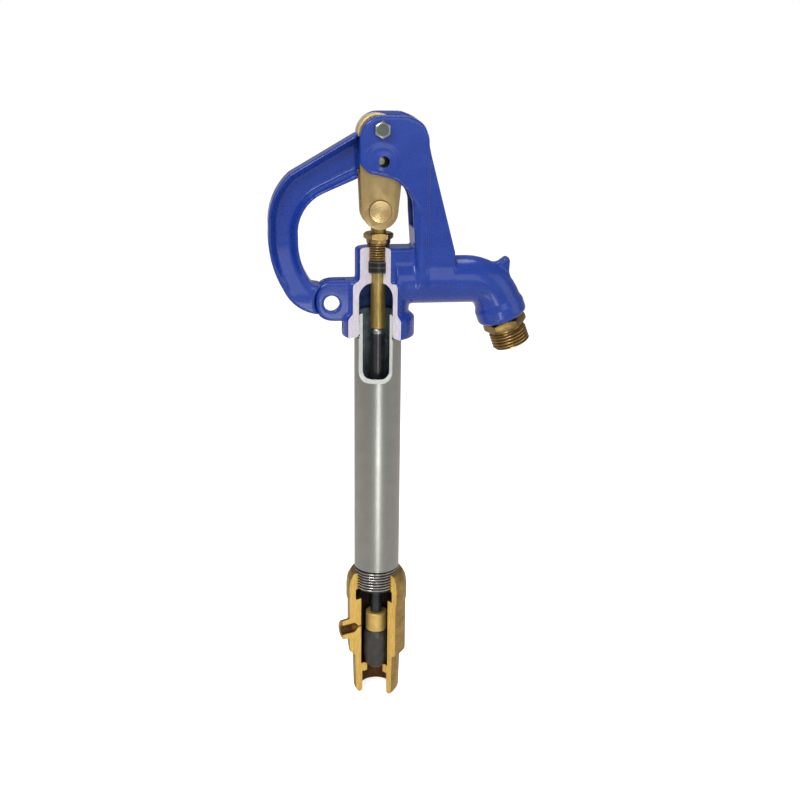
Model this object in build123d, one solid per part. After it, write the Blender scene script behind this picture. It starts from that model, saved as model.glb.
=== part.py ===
"""Frost-free yard hydrant cut open for display. Millimetres, +Z up, spout towards +X, viewer at -Y."""
import os
from math import cos, radians, sin, sqrt, tan

from build123d import *

# Heights above the inlet mouth
SEAT_LOW, SEAT_TOP = 17.0, 24.2
BODY_STEP = 34.5
DRAIN_Z = 57.0
RELIEF_LOW, RELIEF_TOP = 80.0, 88.6
PIPE_LOW = RELIEF_TOP + 0.4
BODY_TOP = 102.0
PIPE_LONG = 212.4
PIPE_TOP = PIPE_LOW + PIPE_LONG
THREAD_LONG = 17.0
WINDOW_LOW = PIPE_TOP - 47.4
SOCKET_LOW, SOCKET_TOP = PIPE_TOP - 16.4, PIPE_TOP - 2.9
SHOULDER = PIPE_TOP + 21.6
CAVITY_TOP = SHOULDER - 1.0
CHAMBER_LOW = SHOULDER + 6.4
CHAMBER_TOP = CHAMBER_LOW + 7.9
BOSS_TOP = CHAMBER_TOP + 9.7

# Linkage
PIN_Z = BOSS_TOP + 25.0
LINK_LONG = 33.5
CRANK = 20.5
UPPER_PIN_Z = PIN_Z + LINK_LONG
PIVOT_Z = UPPER_PIN_Z + CRANK
EAR_TOP = PIVOT_Z + 9.9
EAR_FOOT = UPPER_PIN_Z - 9.1
UPPER_PIN_R = 3.0
LOWER_PIN_R = 7.6
ASSEMBLY_HOLE_X, ASSEMBLY_HOLE_R = 1.5, 3.6
SLOT_X, SLOT_UP, SLOT_R = 0.5, 1.7, 5.3
BOLT_R = 3.0

# Depths, measured from the middle plane
EAR_IN, EAR_OUT = 10.0, 16.5
PLATE_IN, PLATE_OUT = 7.0, 9.8
HUB_HALF, CROWN_HALF = 6.8, 9.85
TONGUE_HALF = 3.0
EYE_HALF = 6.6
LUG_GAP, LUG_OUT = 3.6, 9.0
ARM_HALF, WEB_HALF, RIM = 11.0, 3.6, 4.5
GUSSET_HALF = 14.5

# Radii about the pipe axis
PIPE_R, PIPE_BORE = 16.7, 13.3
COLUMN_R, SOCKET_R = 21.5, 25.6
BOSS_X, BOSS_HALF = -4.6, 11.8
CAVITY_R = 16.6
STEM_R = 5.35
GUIDE_R = STEM_R + 0.35
CHAMBER_R, NUT_THREAD_R = 8.5, 8.0
INLET_R, INLET_ROOT_R, INLET_BORE = 17.4, 18.4, 12.1
BODY_FLAT, COLLAR_R = 21.5, 22.9
BODY_BORE, SEAT_BORE, RELIEF_R = 13.1, 7.8, 17.7
PLUNGER_R, RUBBER_R = 8.1, 9.8
ROD_END_R = 4.5
STUD_R = 3.0
PIPE_PITCH, NUT_PITCH, HOSE_PITCH = 2.209, 1.7, 2.209
THREAD_GAP = 0.05

# Display cuts, degrees from the front (-Y) towards +X
HEAD_CUT = (-60.0, 31.0)
BODY_CUT = (-68.0, 34.0)

# Spout
SPOUT_R, SPOUT_Z = 16.5, SHOULDER + 0.5
WATERWAY_R, WATERWAY_Z = 8.0, SPOUT_Z - 3.5
MOUTH = (90.2, SPOUT_Z - 28.6)
TILT = 20.6
SPOUT_COLLAR_R, SPOUT_FACE_R = 17.8, 15.0
NOZZLE_SHANK_R, NOZZLE_BORE = 12.3, 9.6
HOSE_R, HOSE_ROOT_R = 13.46, 12.3
HEX_NOZZLE, NOZZLE_TURN = 27.0, 40.0

# Padlock lug
LUG_X, LUG_Z, LUG_R, LUG_CORNER = -33.2, PIPE_TOP + 9.2, 14.2, 13.5
LOCK_Z, LOCK_R = LUG_Z - 1.3, 5.2
LUG_END = LUG_X - 11.3
LUG_ROOT = -23.6

# Reach of cutting shapes: through the whole depth, and past the top of the hydrant
THROUGH = 40.0
FAR = 600.0

os.makedirs("parts", exist_ok=True)


def save(shape, name):
    export_step(shape, "parts/" + name + ".step")


def turn(points):
    """Revolve (radius, height) points about the Z axis."""
    return revolve(Plane.XZ * make_face(Polyline(*points, close=True)), Axis.Z)


def slab(face, low, high):
    """Extrude a face drawn in X and Z from depth low to depth high along Y."""
    return Location((0, high, 0)) * extrude(Plane.XZ * face, high - low)


def panel(points, low, high):
    """Flat plate with a straight-sided outline, from depth low to depth high."""
    return slab(make_face(Polyline(*points, close=True)), low, high)


def box(x0, x1, z0, z1, low, high):
    return panel([(x0, z0), (x1, z0), (x1, z1), (x0, z1)], low, high)


def rounded(points, radii):
    """Face with the outline's corners rounded: radii maps a point's place in the list to its radius."""
    face = make_face(Polyline(*points, close=True))
    for place, radius in radii.items():
        x, z = points[place]
        near = min(face.vertices(), key=lambda v: abs(v.X - x) + abs(v.Y - z))
        face = fillet([near], radius)
    return face


def disc(x, z, r, low, high):
    return slab(Location((x, z)) * Circle(r), low, high)


def post(r, low, high):
    """Round bar about the pipe axis."""
    return Location((0, 0, low)) * extrude(Circle(r), high - low)


def aim(angle):
    return (sin(radians(angle)), -cos(radians(angle)))


def wedge(cut, low, high, reach=60):
    """The vertical wedge that the display cut takes away."""
    left, right = cut
    rim = [aim(left + (right - left) * k / 4) for k in range(5)]
    points = [(0, 0)] + [(reach * x, reach * y) for x, y in rim]
    return Location((0, 0, low)) * extrude(make_face(Polyline(*points, close=True)), high - low)


def thread_profile(inner, crest, depth, low, high, pitch, flat=0.28):
    """Radius and height points of a round bar from low to high with thread ridges all along."""
    points = [(inner, low)]
    count = int((high - low) / pitch)
    start = low + (high - low - count * pitch) / 2
    points.append((crest - depth, low))
    for k in range(count):
        z = start + (k + 0.5) * pitch
        half = flat * pitch / 2
        slope = min(depth * tan(radians(30)), pitch / 2 - half - 0.02)
        points += [(crest - depth, z - half - slope), (crest, z - half)]
        points += [(crest, z + half), (crest - depth, z + half + slope)]
    points += [(crest - depth, high), (inner, high)]
    return points


# Outlet axis: origin at the middle of the spout mouth, local Z pointing out of it
out_dir = (sin(radians(TILT)), 0, -cos(radians(TILT)))
outlet = Plane(origin=(MOUTH[0], 0, MOUTH[1]), x_dir=(0, 1, 0), z_dir=out_dir)


def on_outlet(solid):
    return outlet.location * solid


# Head casting
column = [
    (0, SOCKET_LOW),
    (SOCKET_R - 1.2, SOCKET_LOW),
    (SOCKET_R, SOCKET_LOW + 1.2),
    (SOCKET_R, SOCKET_TOP),
    (COLUMN_R, SOCKET_TOP + 3.5),
    (COLUMN_R, SHOULDER - 3),
    (COLUMN_R - 2.5, SHOULDER),
    (0, SHOULDER),
]
head = turn(column)

# Boss for the packing: round at its free end, flat-sided where it runs into the post
boss = Location((BOSS_X, 0, 0)) * post(BOSS_HALF, SHOULDER - 1, BOSS_TOP)

# Yoke: outline of both ears and the post, from the pivot down to the spout
YOKE_LEFT, YOKE_RIGHT, GUSSET_LEFT, GUSSET_FOOT = -14.4, 31.4, 31.0, 51.6
POST_LEFT, GAP_RIGHT = 25.6, 20.5
yoke_face = rounded(
    [
        (YOKE_LEFT, EAR_TOP),
        (YOKE_RIGHT, EAR_TOP),
        (YOKE_RIGHT, PIVOT_Z - 8.0),
        (GUSSET_FOOT, BOSS_TOP - 3.0),
        (GUSSET_FOOT, SPOUT_Z - 1.5),
        (POST_LEFT, SPOUT_Z - 1.5),
        (POST_LEFT, EAR_FOOT - 21.9),
        (POST_LEFT - 6.1, EAR_FOOT - 10.9),
        (9.0, EAR_FOOT - 2.6),
        (YOKE_LEFT, EAR_FOOT + 4.0),
    ],
    {0: 14.0, 1: 14.0, 9: 7.0, 6: 8.0, 8: 8.0, 2: 8.0},
)
yoke = slab(yoke_face, -EAR_OUT, EAR_OUT)
yoke -= panel(
    [
        (-30, EAR_TOP + 15),
        (GAP_RIGHT, EAR_TOP + 15),
        (GAP_RIGHT, EAR_FOOT - 6.4),
        (POST_LEFT, EAR_FOOT - 18.4),
        (POST_LEFT, EAR_FOOT - 36.4),
        (-30, EAR_FOOT - 36.4),
    ],
    -EAR_IN,
    EAR_IN,
)
for side in (-1, 1):
    low, high = sorted((side * GUSSET_HALF, side * (EAR_OUT + 1)))
    yoke -= box(GUSSET_LEFT, GUSSET_FOOT + 5, SPOUT_Z - 5, PIVOT_Z - 9, low, high)
neck = box(BOSS_X, POST_LEFT + 2, SHOULDER - 1, BOSS_TOP, -BOSS_HALF, BOSS_HALF)
head += yoke + boss + neck

# Spout: straight run, elbow, collar at the mouth
knee_x = MOUTH[0] - (SPOUT_Z - MOUTH[1]) * tan(radians(TILT))
spout_path = FilletPolyline((4, SPOUT_Z), (knee_x, SPOUT_Z), MOUTH, radius=24.0)
path_3d = Plane.XZ * spout_path
start = Plane(origin=(4, 0, SPOUT_Z), x_dir=(0, 1, 0), z_dir=(1, 0, 0))
spout = sweep(start * Circle(SPOUT_R), path=path_3d)
spout_collar = turn(
    [
        (0, -13.5),
        (SPOUT_R - 0.5, -13.5),
        (SPOUT_COLLAR_R, -11.0),
        (SPOUT_COLLAR_R, -2.8),
        (SPOUT_FACE_R, 0),
        (0, 0),
    ]
)
head += spout + on_outlet(spout_collar)
hook = [(-12.2, 4.5), (-11.2, 10.5), (-5.7, 12.0), (-0.7, 15.9)]
hook += [(1.6, 15.7), (3.2, 13.1), (2.4, 1.5), (-6.2, -3.5)]
head += panel([(MOUTH[0] + x, SPOUT_Z + z) for x, z in hook], -4.5, 4.5)

# Padlock lug, forked for the lever tongue
lug_low, lug_high = LUG_Z - LUG_R, LUG_Z + LUG_R
lug_corners = [(LUG_END, lug_low), (0, lug_low), (0, lug_high), (LUG_END, lug_high)]
lug_face = rounded(lug_corners, {0: LUG_CORNER, 3: LUG_CORNER})
head += slab(lug_face, -LUG_OUT, LUG_OUT)
head -= box(LUG_END - 15, LUG_ROOT, lug_low - 5, lug_high + 5, -LUG_GAP, LUG_GAP)
head -= disc(LUG_X, LOCK_Z, LOCK_R, -LUG_OUT, LUG_OUT)

# Raised ring round the assembly hole, both ears
for side in (-1, 1):
    low, high = sorted((side * EAR_OUT, side * (EAR_OUT + 0.7)))
    head += disc(ASSEMBLY_HOLE_X, UPPER_PIN_Z, 5.4, low, high)

# Holes of the head
dome = [(0, PIPE_TOP), (CAVITY_R, PIPE_TOP), (CAVITY_R, CAVITY_TOP - 9)]
dome += [(CAVITY_R - 11 + 11 * cos(a), CAVITY_TOP - 9 + 9 * sin(a)) for a in (0.4, 0.8, 1.2)]
dome += [(GUIDE_R, CAVITY_TOP), (0, CAVITY_TOP)]
head -= turn(dome)
socket = [(0, SOCKET_LOW), (PIPE_R + 0.9, SOCKET_LOW), (PIPE_R, SOCKET_LOW + 2)]
head -= turn(socket + [(PIPE_R, PIPE_TOP), (0, PIPE_TOP)])
head -= post(GUIDE_R, CAVITY_TOP - 1, CHAMBER_LOW + 1)
head -= post(CHAMBER_R, CHAMBER_LOW, CHAMBER_TOP)
head -= post(NUT_THREAD_R + THREAD_GAP, CHAMBER_TOP, BOSS_TOP + 2)
way_knee = MOUTH[0] - (WATERWAY_Z - MOUTH[1]) * tan(radians(TILT))
way = Plane.XZ * FilletPolyline((10, WATERWAY_Z), (way_knee, WATERWAY_Z), MOUTH, radius=14.0)
way_start = Plane(origin=(10, 0, WATERWAY_Z), x_dir=(0, 1, 0), z_dir=(1, 0, 0))
head -= sweep(way_start * Circle(WATERWAY_R), path=way)
head -= on_outlet(Location((0, 0, -14)) * extrude(Circle(NOZZLE_SHANK_R), 15))
head -= disc(0, PIVOT_Z, BOLT_R, -EAR_OUT, EAR_OUT)
head -= disc(ASSEMBLY_HOLE_X, UPPER_PIN_Z, ASSEMBLY_HOLE_R, -EAR_OUT - 1, EAR_OUT + 1)
head -= wedge(HEAD_CUT, SOCKET_LOW - 1, BOSS_TOP + 3)
save(head, "head_casting")

# Pivot bolt, washer and nut: 6 mm thread, hexagons 10 mm across the flats with a corner up
HEX_BOLT, BOLT_HEAD, WASHER, NUT = 10.0, 4.0, 1.2, 5.0
bolt_end = EAR_OUT + WASHER + NUT + 1.4
bolt = disc(0, PIVOT_Z, BOLT_R, -EAR_OUT, bolt_end)
hexagon = Location((0, PIVOT_Z)) * RegularPolygon(HEX_BOLT / 2, 6, major_radius=False, rotation=30)
bolt += slab(hexagon, -EAR_OUT - BOLT_HEAD, -EAR_OUT)
save(bolt, "pivot_bolt")
washer = disc(0, PIVOT_Z, 7.0, EAR_OUT, EAR_OUT + WASHER) - disc(0, PIVOT_Z, BOLT_R, 0, THROUGH)
save(washer, "pivot_washer")
nut = slab(hexagon, EAR_OUT + WASHER, EAR_OUT + WASHER + NUT) - disc(0, PIVOT_Z, BOLT_R, 0, THROUGH)
save(nut, "pivot_nut")

# Lever handle: D-shaped grip with rims round a thin web, tongue into the hub, tongue into the lug
ARM_END = -16.6
ARM_TOP, ARM_LOW = PIVOT_Z - 2.8, PIVOT_Z - 32.0
GRIP_Z = PIVOT_Z - 65.5
HEEL_X, HEEL_R = LUG_END + 14.2, 14.75
HEEL_TOP, HEEL_LOW = LUG_Z + 11.0, LUG_Z - 8.7


def on_heel(z):
    """Point of the hollow lever end, which follows the round end of the lug."""
    return (HEEL_X - sqrt(HEEL_R**2 - (z - LUG_Z) ** 2), z)


# The outline runs on past the arm's end, so that the pocket between the rims stays open there
ARM_RUN, POCKET_LOW = ARM_END + 12.0, GRIP_Z - 42.5
run_low = ARM_LOW + (ARM_RUN - ARM_END) * (GRIP_Z + 23.7 - ARM_LOW) / (-38.0 - ARM_END)
lever_line = Wire(
    [
        Line((ARM_RUN, run_low), (ARM_RUN, ARM_TOP)),
        Line((ARM_RUN, ARM_TOP), (ARM_END, ARM_TOP)),
        Line((ARM_END, ARM_TOP), (-60.5, GRIP_Z + 36.5)),
        ThreePointArc((-60.5, GRIP_Z + 36.5), (-71.4, GRIP_Z + 21.6), (-75.3, GRIP_Z)),
        ThreePointArc((-75.3, GRIP_Z), (-73.4, GRIP_Z - 23.5), (-66.0, GRIP_Z - 41.5)),
        ThreePointArc((-66.0, GRIP_Z - 41.5), (-57.5, GRIP_Z - 52.5), on_heel(HEEL_LOW)),
        ThreePointArc(on_heel(HEEL_LOW), on_heel(LUG_Z), on_heel(HEEL_TOP)),
        Line(on_heel(HEEL_TOP), (-46.2, HEEL_TOP + 1.0)),
        ThreePointArc((-46.2, HEEL_TOP + 1.0), (-52.6, GRIP_Z - 25.5), (-55.5, GRIP_Z - 6.0)),
        ThreePointArc((-55.5, GRIP_Z - 6.0), (-50.5, GRIP_Z + 13.5), (-38.0, GRIP_Z + 23.7)),
        Line((-38.0, GRIP_Z + 23.7), (ARM_RUN, run_low)),
    ]
)
lever_face = make_face(lever_line)
lever = slab(lever_face, -ARM_HALF, ARM_HALF) & box(-90, ARM_END, 0, FAR, -THROUGH, THROUGH)
pocket = offset(lever_face, -RIM)
for side in (-1, 1):
    low, high = sorted((side * WEB_HALF, side * (ARM_HALF + 1)))
    lever -= slab(pocket, low, high) & box(-90, 0, POCKET_LOW, EAR_TOP, -THROUGH, THROUGH)

HUB_R, hub_low, crown_low = 11.4, PIVOT_Z - 27.6, PIVOT_Z - 4.8
hub_top = PIVOT_Z - 1.8 + HUB_R
hub_face = make_hull(
    (
        Location((0, hub_top - HUB_R)) * Circle(HUB_R)
        + Location((7.0 - HUB_R, hub_low + 7.0)) * Circle(7.0)
        + Location((0.5, hub_low + 9.0)) * Circle(9.0)
    ).edges()
)
SLOT_Z = UPPER_PIN_Z + SLOT_UP
tongue_low = PIVOT_Z - 26.5
tongue_points = [
    (ARM_END - 6, tongue_low),
    (8.0, tongue_low),
    (8.0, PIVOT_Z + 5.4),
    (-5.0, PIVOT_Z + 5.4),
    (ARM_END - 6, PIVOT_Z - 8.0),
]
lever += panel(tongue_points, -TONGUE_HALF, TONGUE_HALF)
LOCK_HALF = LUG_GAP - 0.4
lock_left, lock_right = HEEL_X - HEEL_R - 4, LUG_ROOT - 0.6
lock_low, lock_high = LOCK_Z - 7.0, LUG_Z + 8.0
lock_face = rounded(
    [(lock_left, lock_low), (lock_right, lock_low), (lock_right, lock_high), (lock_left, lock_high)],
    {1: 7.0, 2: 7.0},
)
lever += slab(lock_face, -LOCK_HALF, LOCK_HALF)
lever_holes = disc(0, PIVOT_Z, BOLT_R + 0.06, -THROUGH, THROUGH)
lever_holes += disc(SLOT_X, SLOT_Z, SLOT_R, -THROUGH, THROUGH)
lever -= lever_holes + disc(LUG_X, LOCK_Z, LOCK_R, -THROUGH, THROUGH)
save(lever, "lever_handle")

# Brass hub: two cheeks over the tongue, closed by the crown
hub = slab(hub_face, -HUB_HALF, HUB_HALF)
hub += slab(hub_face, -CROWN_HALF, CROWN_HALF) & box(-40, 40, crown_low, hub_top + 1, -THROUGH, THROUGH)
hub -= panel(tongue_points, -TONGUE_HALF, TONGUE_HALF)
hub -= box(-40, 40, hub_low - 1, tongue_low, -TONGUE_HALF, TONGUE_HALF)
hub -= lever_holes
save(hub, "lever_hub")

# Link plates and pins
PLATE_LOW_R, PLATE_HIGH_R = 12.3, 12.6
plate_face = make_hull(
    (
        Location((0, PIN_Z)) * Circle(PLATE_LOW_R)
        + Location((1.6, PIN_Z + 19)) * Circle(PLATE_HIGH_R)
        + Location((-1.4, UPPER_PIN_Z - 0.6)) * Circle(PLATE_HIGH_R)
    ).edges()
)
plate_places = {"link_plate_front": (-PLATE_OUT, -PLATE_IN), "link_plate_back": (PLATE_IN, PLATE_OUT)}
for name, (low, high) in plate_places.items():
    plate = slab(plate_face, low, high)
    plate -= disc(0, PIN_Z, LOWER_PIN_R, -THROUGH, THROUGH)
    plate -= disc(0, UPPER_PIN_Z, UPPER_PIN_R, -THROUGH, THROUGH)
    save(plate, name)
save(disc(0, UPPER_PIN_Z, UPPER_PIN_R, -PLATE_OUT, PLATE_OUT), "link_pin_upper")
CLIP = 0.9
lower_pin = disc(0, PIN_Z, LOWER_PIN_R, -PLATE_OUT - 0.7, PLATE_OUT + 1.6)
CLIP_DEEP, CLIP_PROUD = 0.8, 1.2
groove = disc(0, PIN_Z, LOWER_PIN_R + CLIP_PROUD, PLATE_OUT, PLATE_OUT + CLIP)
groove -= disc(0, PIN_Z, LOWER_PIN_R - CLIP_DEEP, 0, THROUGH)
lower_pin -= groove
save(lower_pin, "link_pin_lower")
clip = disc(0, PIN_Z, LOWER_PIN_R + CLIP_PROUD, PLATE_OUT, PLATE_OUT + CLIP)
clip -= disc(0, PIN_Z, LOWER_PIN_R - CLIP_DEEP, 0, THROUGH)
clip -= box(-3, 3, PIN_Z, PIN_Z + 20, 0, THROUGH)
save(clip, "pin_clip")

# Stem, ferrule, operating rod and plunger
FERRULE_LOW = SOCKET_LOW + 1.0
FERRULE_TOP = FERRULE_LOW + 4.0
STEM_TAIL = FERRULE_LOW - 12.0
ROD_STEP, ROD_LOW = 106.0, 60.0
HEAD_LOW, HEAD_TOP = 52.0, 67.0
RUBBER_LOW = 18.6
stem = disc(0, PIN_Z, 11.0, -EYE_HALF, EYE_HALF)
stem += post(STEM_R, FERRULE_TOP, PIN_Z - 4)
stem += post(STUD_R, STEM_TAIL, FERRULE_TOP)
stem -= disc(0, PIN_Z, LOWER_PIN_R + 0.06, -THROUGH, THROUGH)
save(stem, "stem_rod")
ferrule = turn(
    [
        (STUD_R, FERRULE_LOW),
        (STEM_R, FERRULE_LOW),
        (STEM_R, FERRULE_TOP - 1.6),
        (STEM_R - 1.2, FERRULE_TOP),
        (STUD_R, FERRULE_TOP),
    ]
)
save(ferrule, "rod_ferrule")
rod = post(STEM_R, ROD_STEP, FERRULE_LOW) + post(ROD_END_R, ROD_LOW, ROD_STEP)
rod -= post(STUD_R, STEM_TAIL, FERRULE_LOW)
save(rod, "operating_rod")
STUD_LOW = 36.0
plunger = post(PLUNGER_R, HEAD_LOW, HEAD_TOP)
plunger -= post(ROD_END_R, ROD_LOW, HEAD_TOP)
plunger -= post(STUD_R, HEAD_LOW, ROD_LOW)
plunger_rims = plunger.edges().filter_by(GeomType.CIRCLE).filter_by(lambda e: e.radius > PLUNGER_R - 0.1)
plunger = chamfer(plunger_rims, 0.6)
save(plunger, "plunger_head")
stud = post(STUD_R, STUD_LOW + 3, ROD_LOW) + post(5.0, STUD_LOW, STUD_LOW + 3)
save(stud, "plunger_stud")
rubber_line = [
    (0, RUBBER_LOW),
    (3.5, RUBBER_LOW + 0.4),
    (6.4, RUBBER_LOW + 2.0),
    (8.2, RUBBER_LOW + 5.2),
    (RUBBER_R, RUBBER_LOW + 8.6),
    (RUBBER_R, HEAD_LOW - 3.4),
    (PLUNGER_R - 0.3, HEAD_LOW - 1.6),
    (PLUNGER_R - 0.3, HEAD_LOW),
    (0, HEAD_LOW),
]
rubber = turn(rubber_line) - stud
save(rubber, "plunger_rubber")

# Packing nut, packing rings and their washers
NUT_HEX = 18.2
NUT_SHOULDER, NUT_TOP = BOSS_TOP + 5.3, BOSS_TOP + 9.9
nut_bore = STEM_R + 0.35
gland = turn(thread_profile(nut_bore, NUT_THREAD_R, 0.75, CHAMBER_TOP, BOSS_TOP + 2.6, NUT_PITCH))
gland += post(NUT_THREAD_R + 0.4, BOSS_TOP + 2.6, NUT_SHOULDER) - post(nut_bore, 0, FAR)
hex_top = Location((0, 0, NUT_SHOULDER)) * extrude(
    RegularPolygon(NUT_HEX / 2, 6, major_radius=False, rotation=0), NUT_TOP - NUT_SHOULDER
)
gland += hex_top - post(nut_bore, 0, FAR)
save(gland, "packing_nut")
RING_BORE, RING_OUT, SHIM = STEM_R + 0.05, CHAMBER_R, 0.8
ring_height = (CHAMBER_TOP - CHAMBER_LOW - 3 * SHIM) / 2
shims = []
for k in range(3):
    low = CHAMBER_LOW + k * (ring_height + SHIM)
    shims.append(post(RING_OUT - 0.1, low, low + SHIM) - post(GUIDE_R, 0, FAR))
    if k < 2:
        ring = post(RING_OUT, low + SHIM, low + SHIM + ring_height) - post(RING_BORE, 0, FAR)
        save(ring, ("packing_ring_lower", "packing_ring_upper")[k])
save(Compound(children=shims), "packing_washers")

# Standpipe: one inch pipe, threaded at both ends, window at the top
pipe = turn(thread_profile(PIPE_BORE, PIPE_R - 0.1, 1.1, PIPE_LOW, PIPE_LOW + THREAD_LONG, PIPE_PITCH))
pipe += post(PIPE_R, PIPE_LOW + THREAD_LONG, PIPE_TOP - THREAD_LONG) - post(PIPE_BORE, 0, FAR)
pipe += turn(thread_profile(PIPE_BORE, PIPE_R - 0.1, 1.1, PIPE_TOP - THREAD_LONG, PIPE_TOP, PIPE_PITCH))
middle = sum(HEAD_CUT) / 2
half = PIPE_R * sin(radians((HEAD_CUT[1] - HEAD_CUT[0]) / 2)) + 0.4
window_face = rounded(
    [(-half, WINDOW_LOW), (half, WINDOW_LOW), (half, PIPE_TOP + 1), (-half, PIPE_TOP + 1)], {0: 7.0, 1: 7.0}
)
window = Rotation(0, 0, middle) * slab(window_face, -40, 0)
pipe -= wedge(HEAD_CUT, WINDOW_LOW - 1, PIPE_TOP + 1) & window
save(pipe, "stand_pipe")

# Valve body: eight flats, inlet neck, drain boss
COLLAR_LOW = BODY_TOP - 22.0
octagon = RegularPolygon(BODY_FLAT, 8, major_radius=False, rotation=22.5)
valve = Location((0, 0, BODY_STEP)) * extrude(octagon, COLLAR_LOW + 1 - BODY_STEP)
body_corner = BODY_FLAT / cos(radians(22.5))
body_line = [(0, BODY_STEP), (INLET_ROOT_R + 1.0, BODY_STEP), (body_corner, BODY_STEP + 3.0)]
valve &= turn(body_line + [(body_corner, COLLAR_LOW + 1), (0, COLLAR_LOW + 1)])
valve += turn(
    [
        (0, COLLAR_LOW),
        (COLLAR_R - 0.6, COLLAR_LOW),
        (COLLAR_R, COLLAR_LOW + 0.6),
        (COLLAR_R, BODY_TOP - 11),
        (COLLAR_R - 0.8, BODY_TOP - 5),
        (COLLAR_R - 3.6, BODY_TOP),
        (0, BODY_TOP),
    ]
)
inlet_line = [(0, 0), (INLET_R - 2.2, 0), (INLET_R, 3.5), (INLET_ROOT_R, BODY_STEP), (0, BODY_STEP)]
valve += turn(inlet_line)
DRAIN_REACH, DRAIN_BOSS_R, DRAIN_TAP_R, DRAIN_PIN_R = 29.0, 8.0, 4.0, 0.7
drain_plane = Plane(origin=(0, 0, DRAIN_Z), x_dir=(0, 0, 1), z_dir=(*aim(BODY_CUT[0]), 0))
drain_boss = Location((0, 0, 14)) * extrude(Circle(DRAIN_BOSS_R), DRAIN_REACH - 14)
valve += drain_plane.location * drain_boss
valve -= post(PIPE_R, RELIEF_TOP, BODY_TOP + 1)
valve -= post(RELIEF_R, RELIEF_LOW, RELIEF_TOP)
valve -= post(BODY_BORE, SEAT_TOP, RELIEF_LOW)
seat = [(0, SEAT_LOW), (SEAT_BORE, SEAT_LOW), (SEAT_BORE, SEAT_TOP - 1.4), (10.2, SEAT_TOP), (0, SEAT_TOP)]
valve -= turn(seat)
valve -= post(INLET_BORE, -1, SEAT_LOW)
tap = turn([(0, 10), (DRAIN_PIN_R, 10), (DRAIN_PIN_R, 15.4), (DRAIN_TAP_R, 18.6), (DRAIN_TAP_R, 31), (0, 31)])
valve -= drain_plane.location * tap
valve -= wedge(BODY_CUT, -1, BODY_TOP + 1)
save(valve, "valve_body")

# Hose nozzle
HEX_LONG, NECK_LONG, HOSE_LONG, SHANK_LONG = 6.6, 1.6, 11.9, 12.0
hose_start = HEX_LONG + NECK_LONG
nozzle = turn(thread_profile(NOZZLE_BORE, HOSE_R, 1.1, hose_start, hose_start + HOSE_LONG, HOSE_PITCH))
nozzle += post(HOSE_ROOT_R, HEX_LONG, hose_start) - post(NOZZLE_BORE, -50, 50)
nozzle_hex = RegularPolygon(HEX_NOZZLE / 2, 6, major_radius=False, rotation=NOZZLE_TURN)
nozzle += extrude(nozzle_hex, HEX_LONG) - post(NOZZLE_BORE, -50, 50)
nozzle += post(NOZZLE_SHANK_R, -SHANK_LONG, 0) - post(NOZZLE_BORE, -50, 50)
save(on_outlet(nozzle), "hose_nozzle")
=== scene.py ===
"""Frost-free yard hydrant, cut open for display: cast head and lever, brass linkage, riser pipe, bottom valve."""
import bpy
import bmesh
import numpy as np
from itertools import product
from math import sin, cos, tan, pi, radians, hypot, atan2, sqrt
from mathutils import Matrix, Vector


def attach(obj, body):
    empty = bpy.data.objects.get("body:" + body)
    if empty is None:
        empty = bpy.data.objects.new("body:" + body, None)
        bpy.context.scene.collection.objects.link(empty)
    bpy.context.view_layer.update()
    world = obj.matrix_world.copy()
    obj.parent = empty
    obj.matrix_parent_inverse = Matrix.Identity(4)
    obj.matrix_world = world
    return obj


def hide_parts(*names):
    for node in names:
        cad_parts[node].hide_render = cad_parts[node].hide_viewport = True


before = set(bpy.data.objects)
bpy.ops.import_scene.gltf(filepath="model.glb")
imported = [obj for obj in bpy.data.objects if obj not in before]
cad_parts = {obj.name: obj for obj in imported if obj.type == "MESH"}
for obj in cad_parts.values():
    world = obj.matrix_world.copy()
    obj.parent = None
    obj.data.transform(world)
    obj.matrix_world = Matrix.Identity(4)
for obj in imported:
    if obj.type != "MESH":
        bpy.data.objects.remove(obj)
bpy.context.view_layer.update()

# Camera and studio
TURN, LOOK_DOWN, ROLL = radians(-8.5), radians(17.5), radians(0.72)
LENS_PIXELS, PICTURE = 1070.0, 800.0
CAMERA_PLACE = Vector((-0.0926, -0.7295, 0.4679))
back = Vector((sin(TURN) * cos(LOOK_DOWN), -cos(TURN) * cos(LOOK_DOWN), sin(LOOK_DOWN)))
level = Vector((cos(TURN), sin(TURN), 0))
upright = back.cross(level)
right = level * cos(ROLL) + upright * sin(ROLL)
up = upright * cos(ROLL) - level * sin(ROLL)
camera_data = bpy.data.cameras.new("camera")
camera_data.lens = LENS_PIXELS / PICTURE * camera_data.sensor_width
camera_data.clip_start = 0.01
camera = bpy.data.objects.new("camera", camera_data)
camera.matrix_world = Matrix((right, up, back)).transposed().to_4x4()
camera.matrix_world.translation = CAMERA_PLACE
bpy.context.collection.objects.link(camera)
bpy.context.scene.camera = camera
bpy.context.scene.view_settings.view_transform = "Standard"

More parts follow.
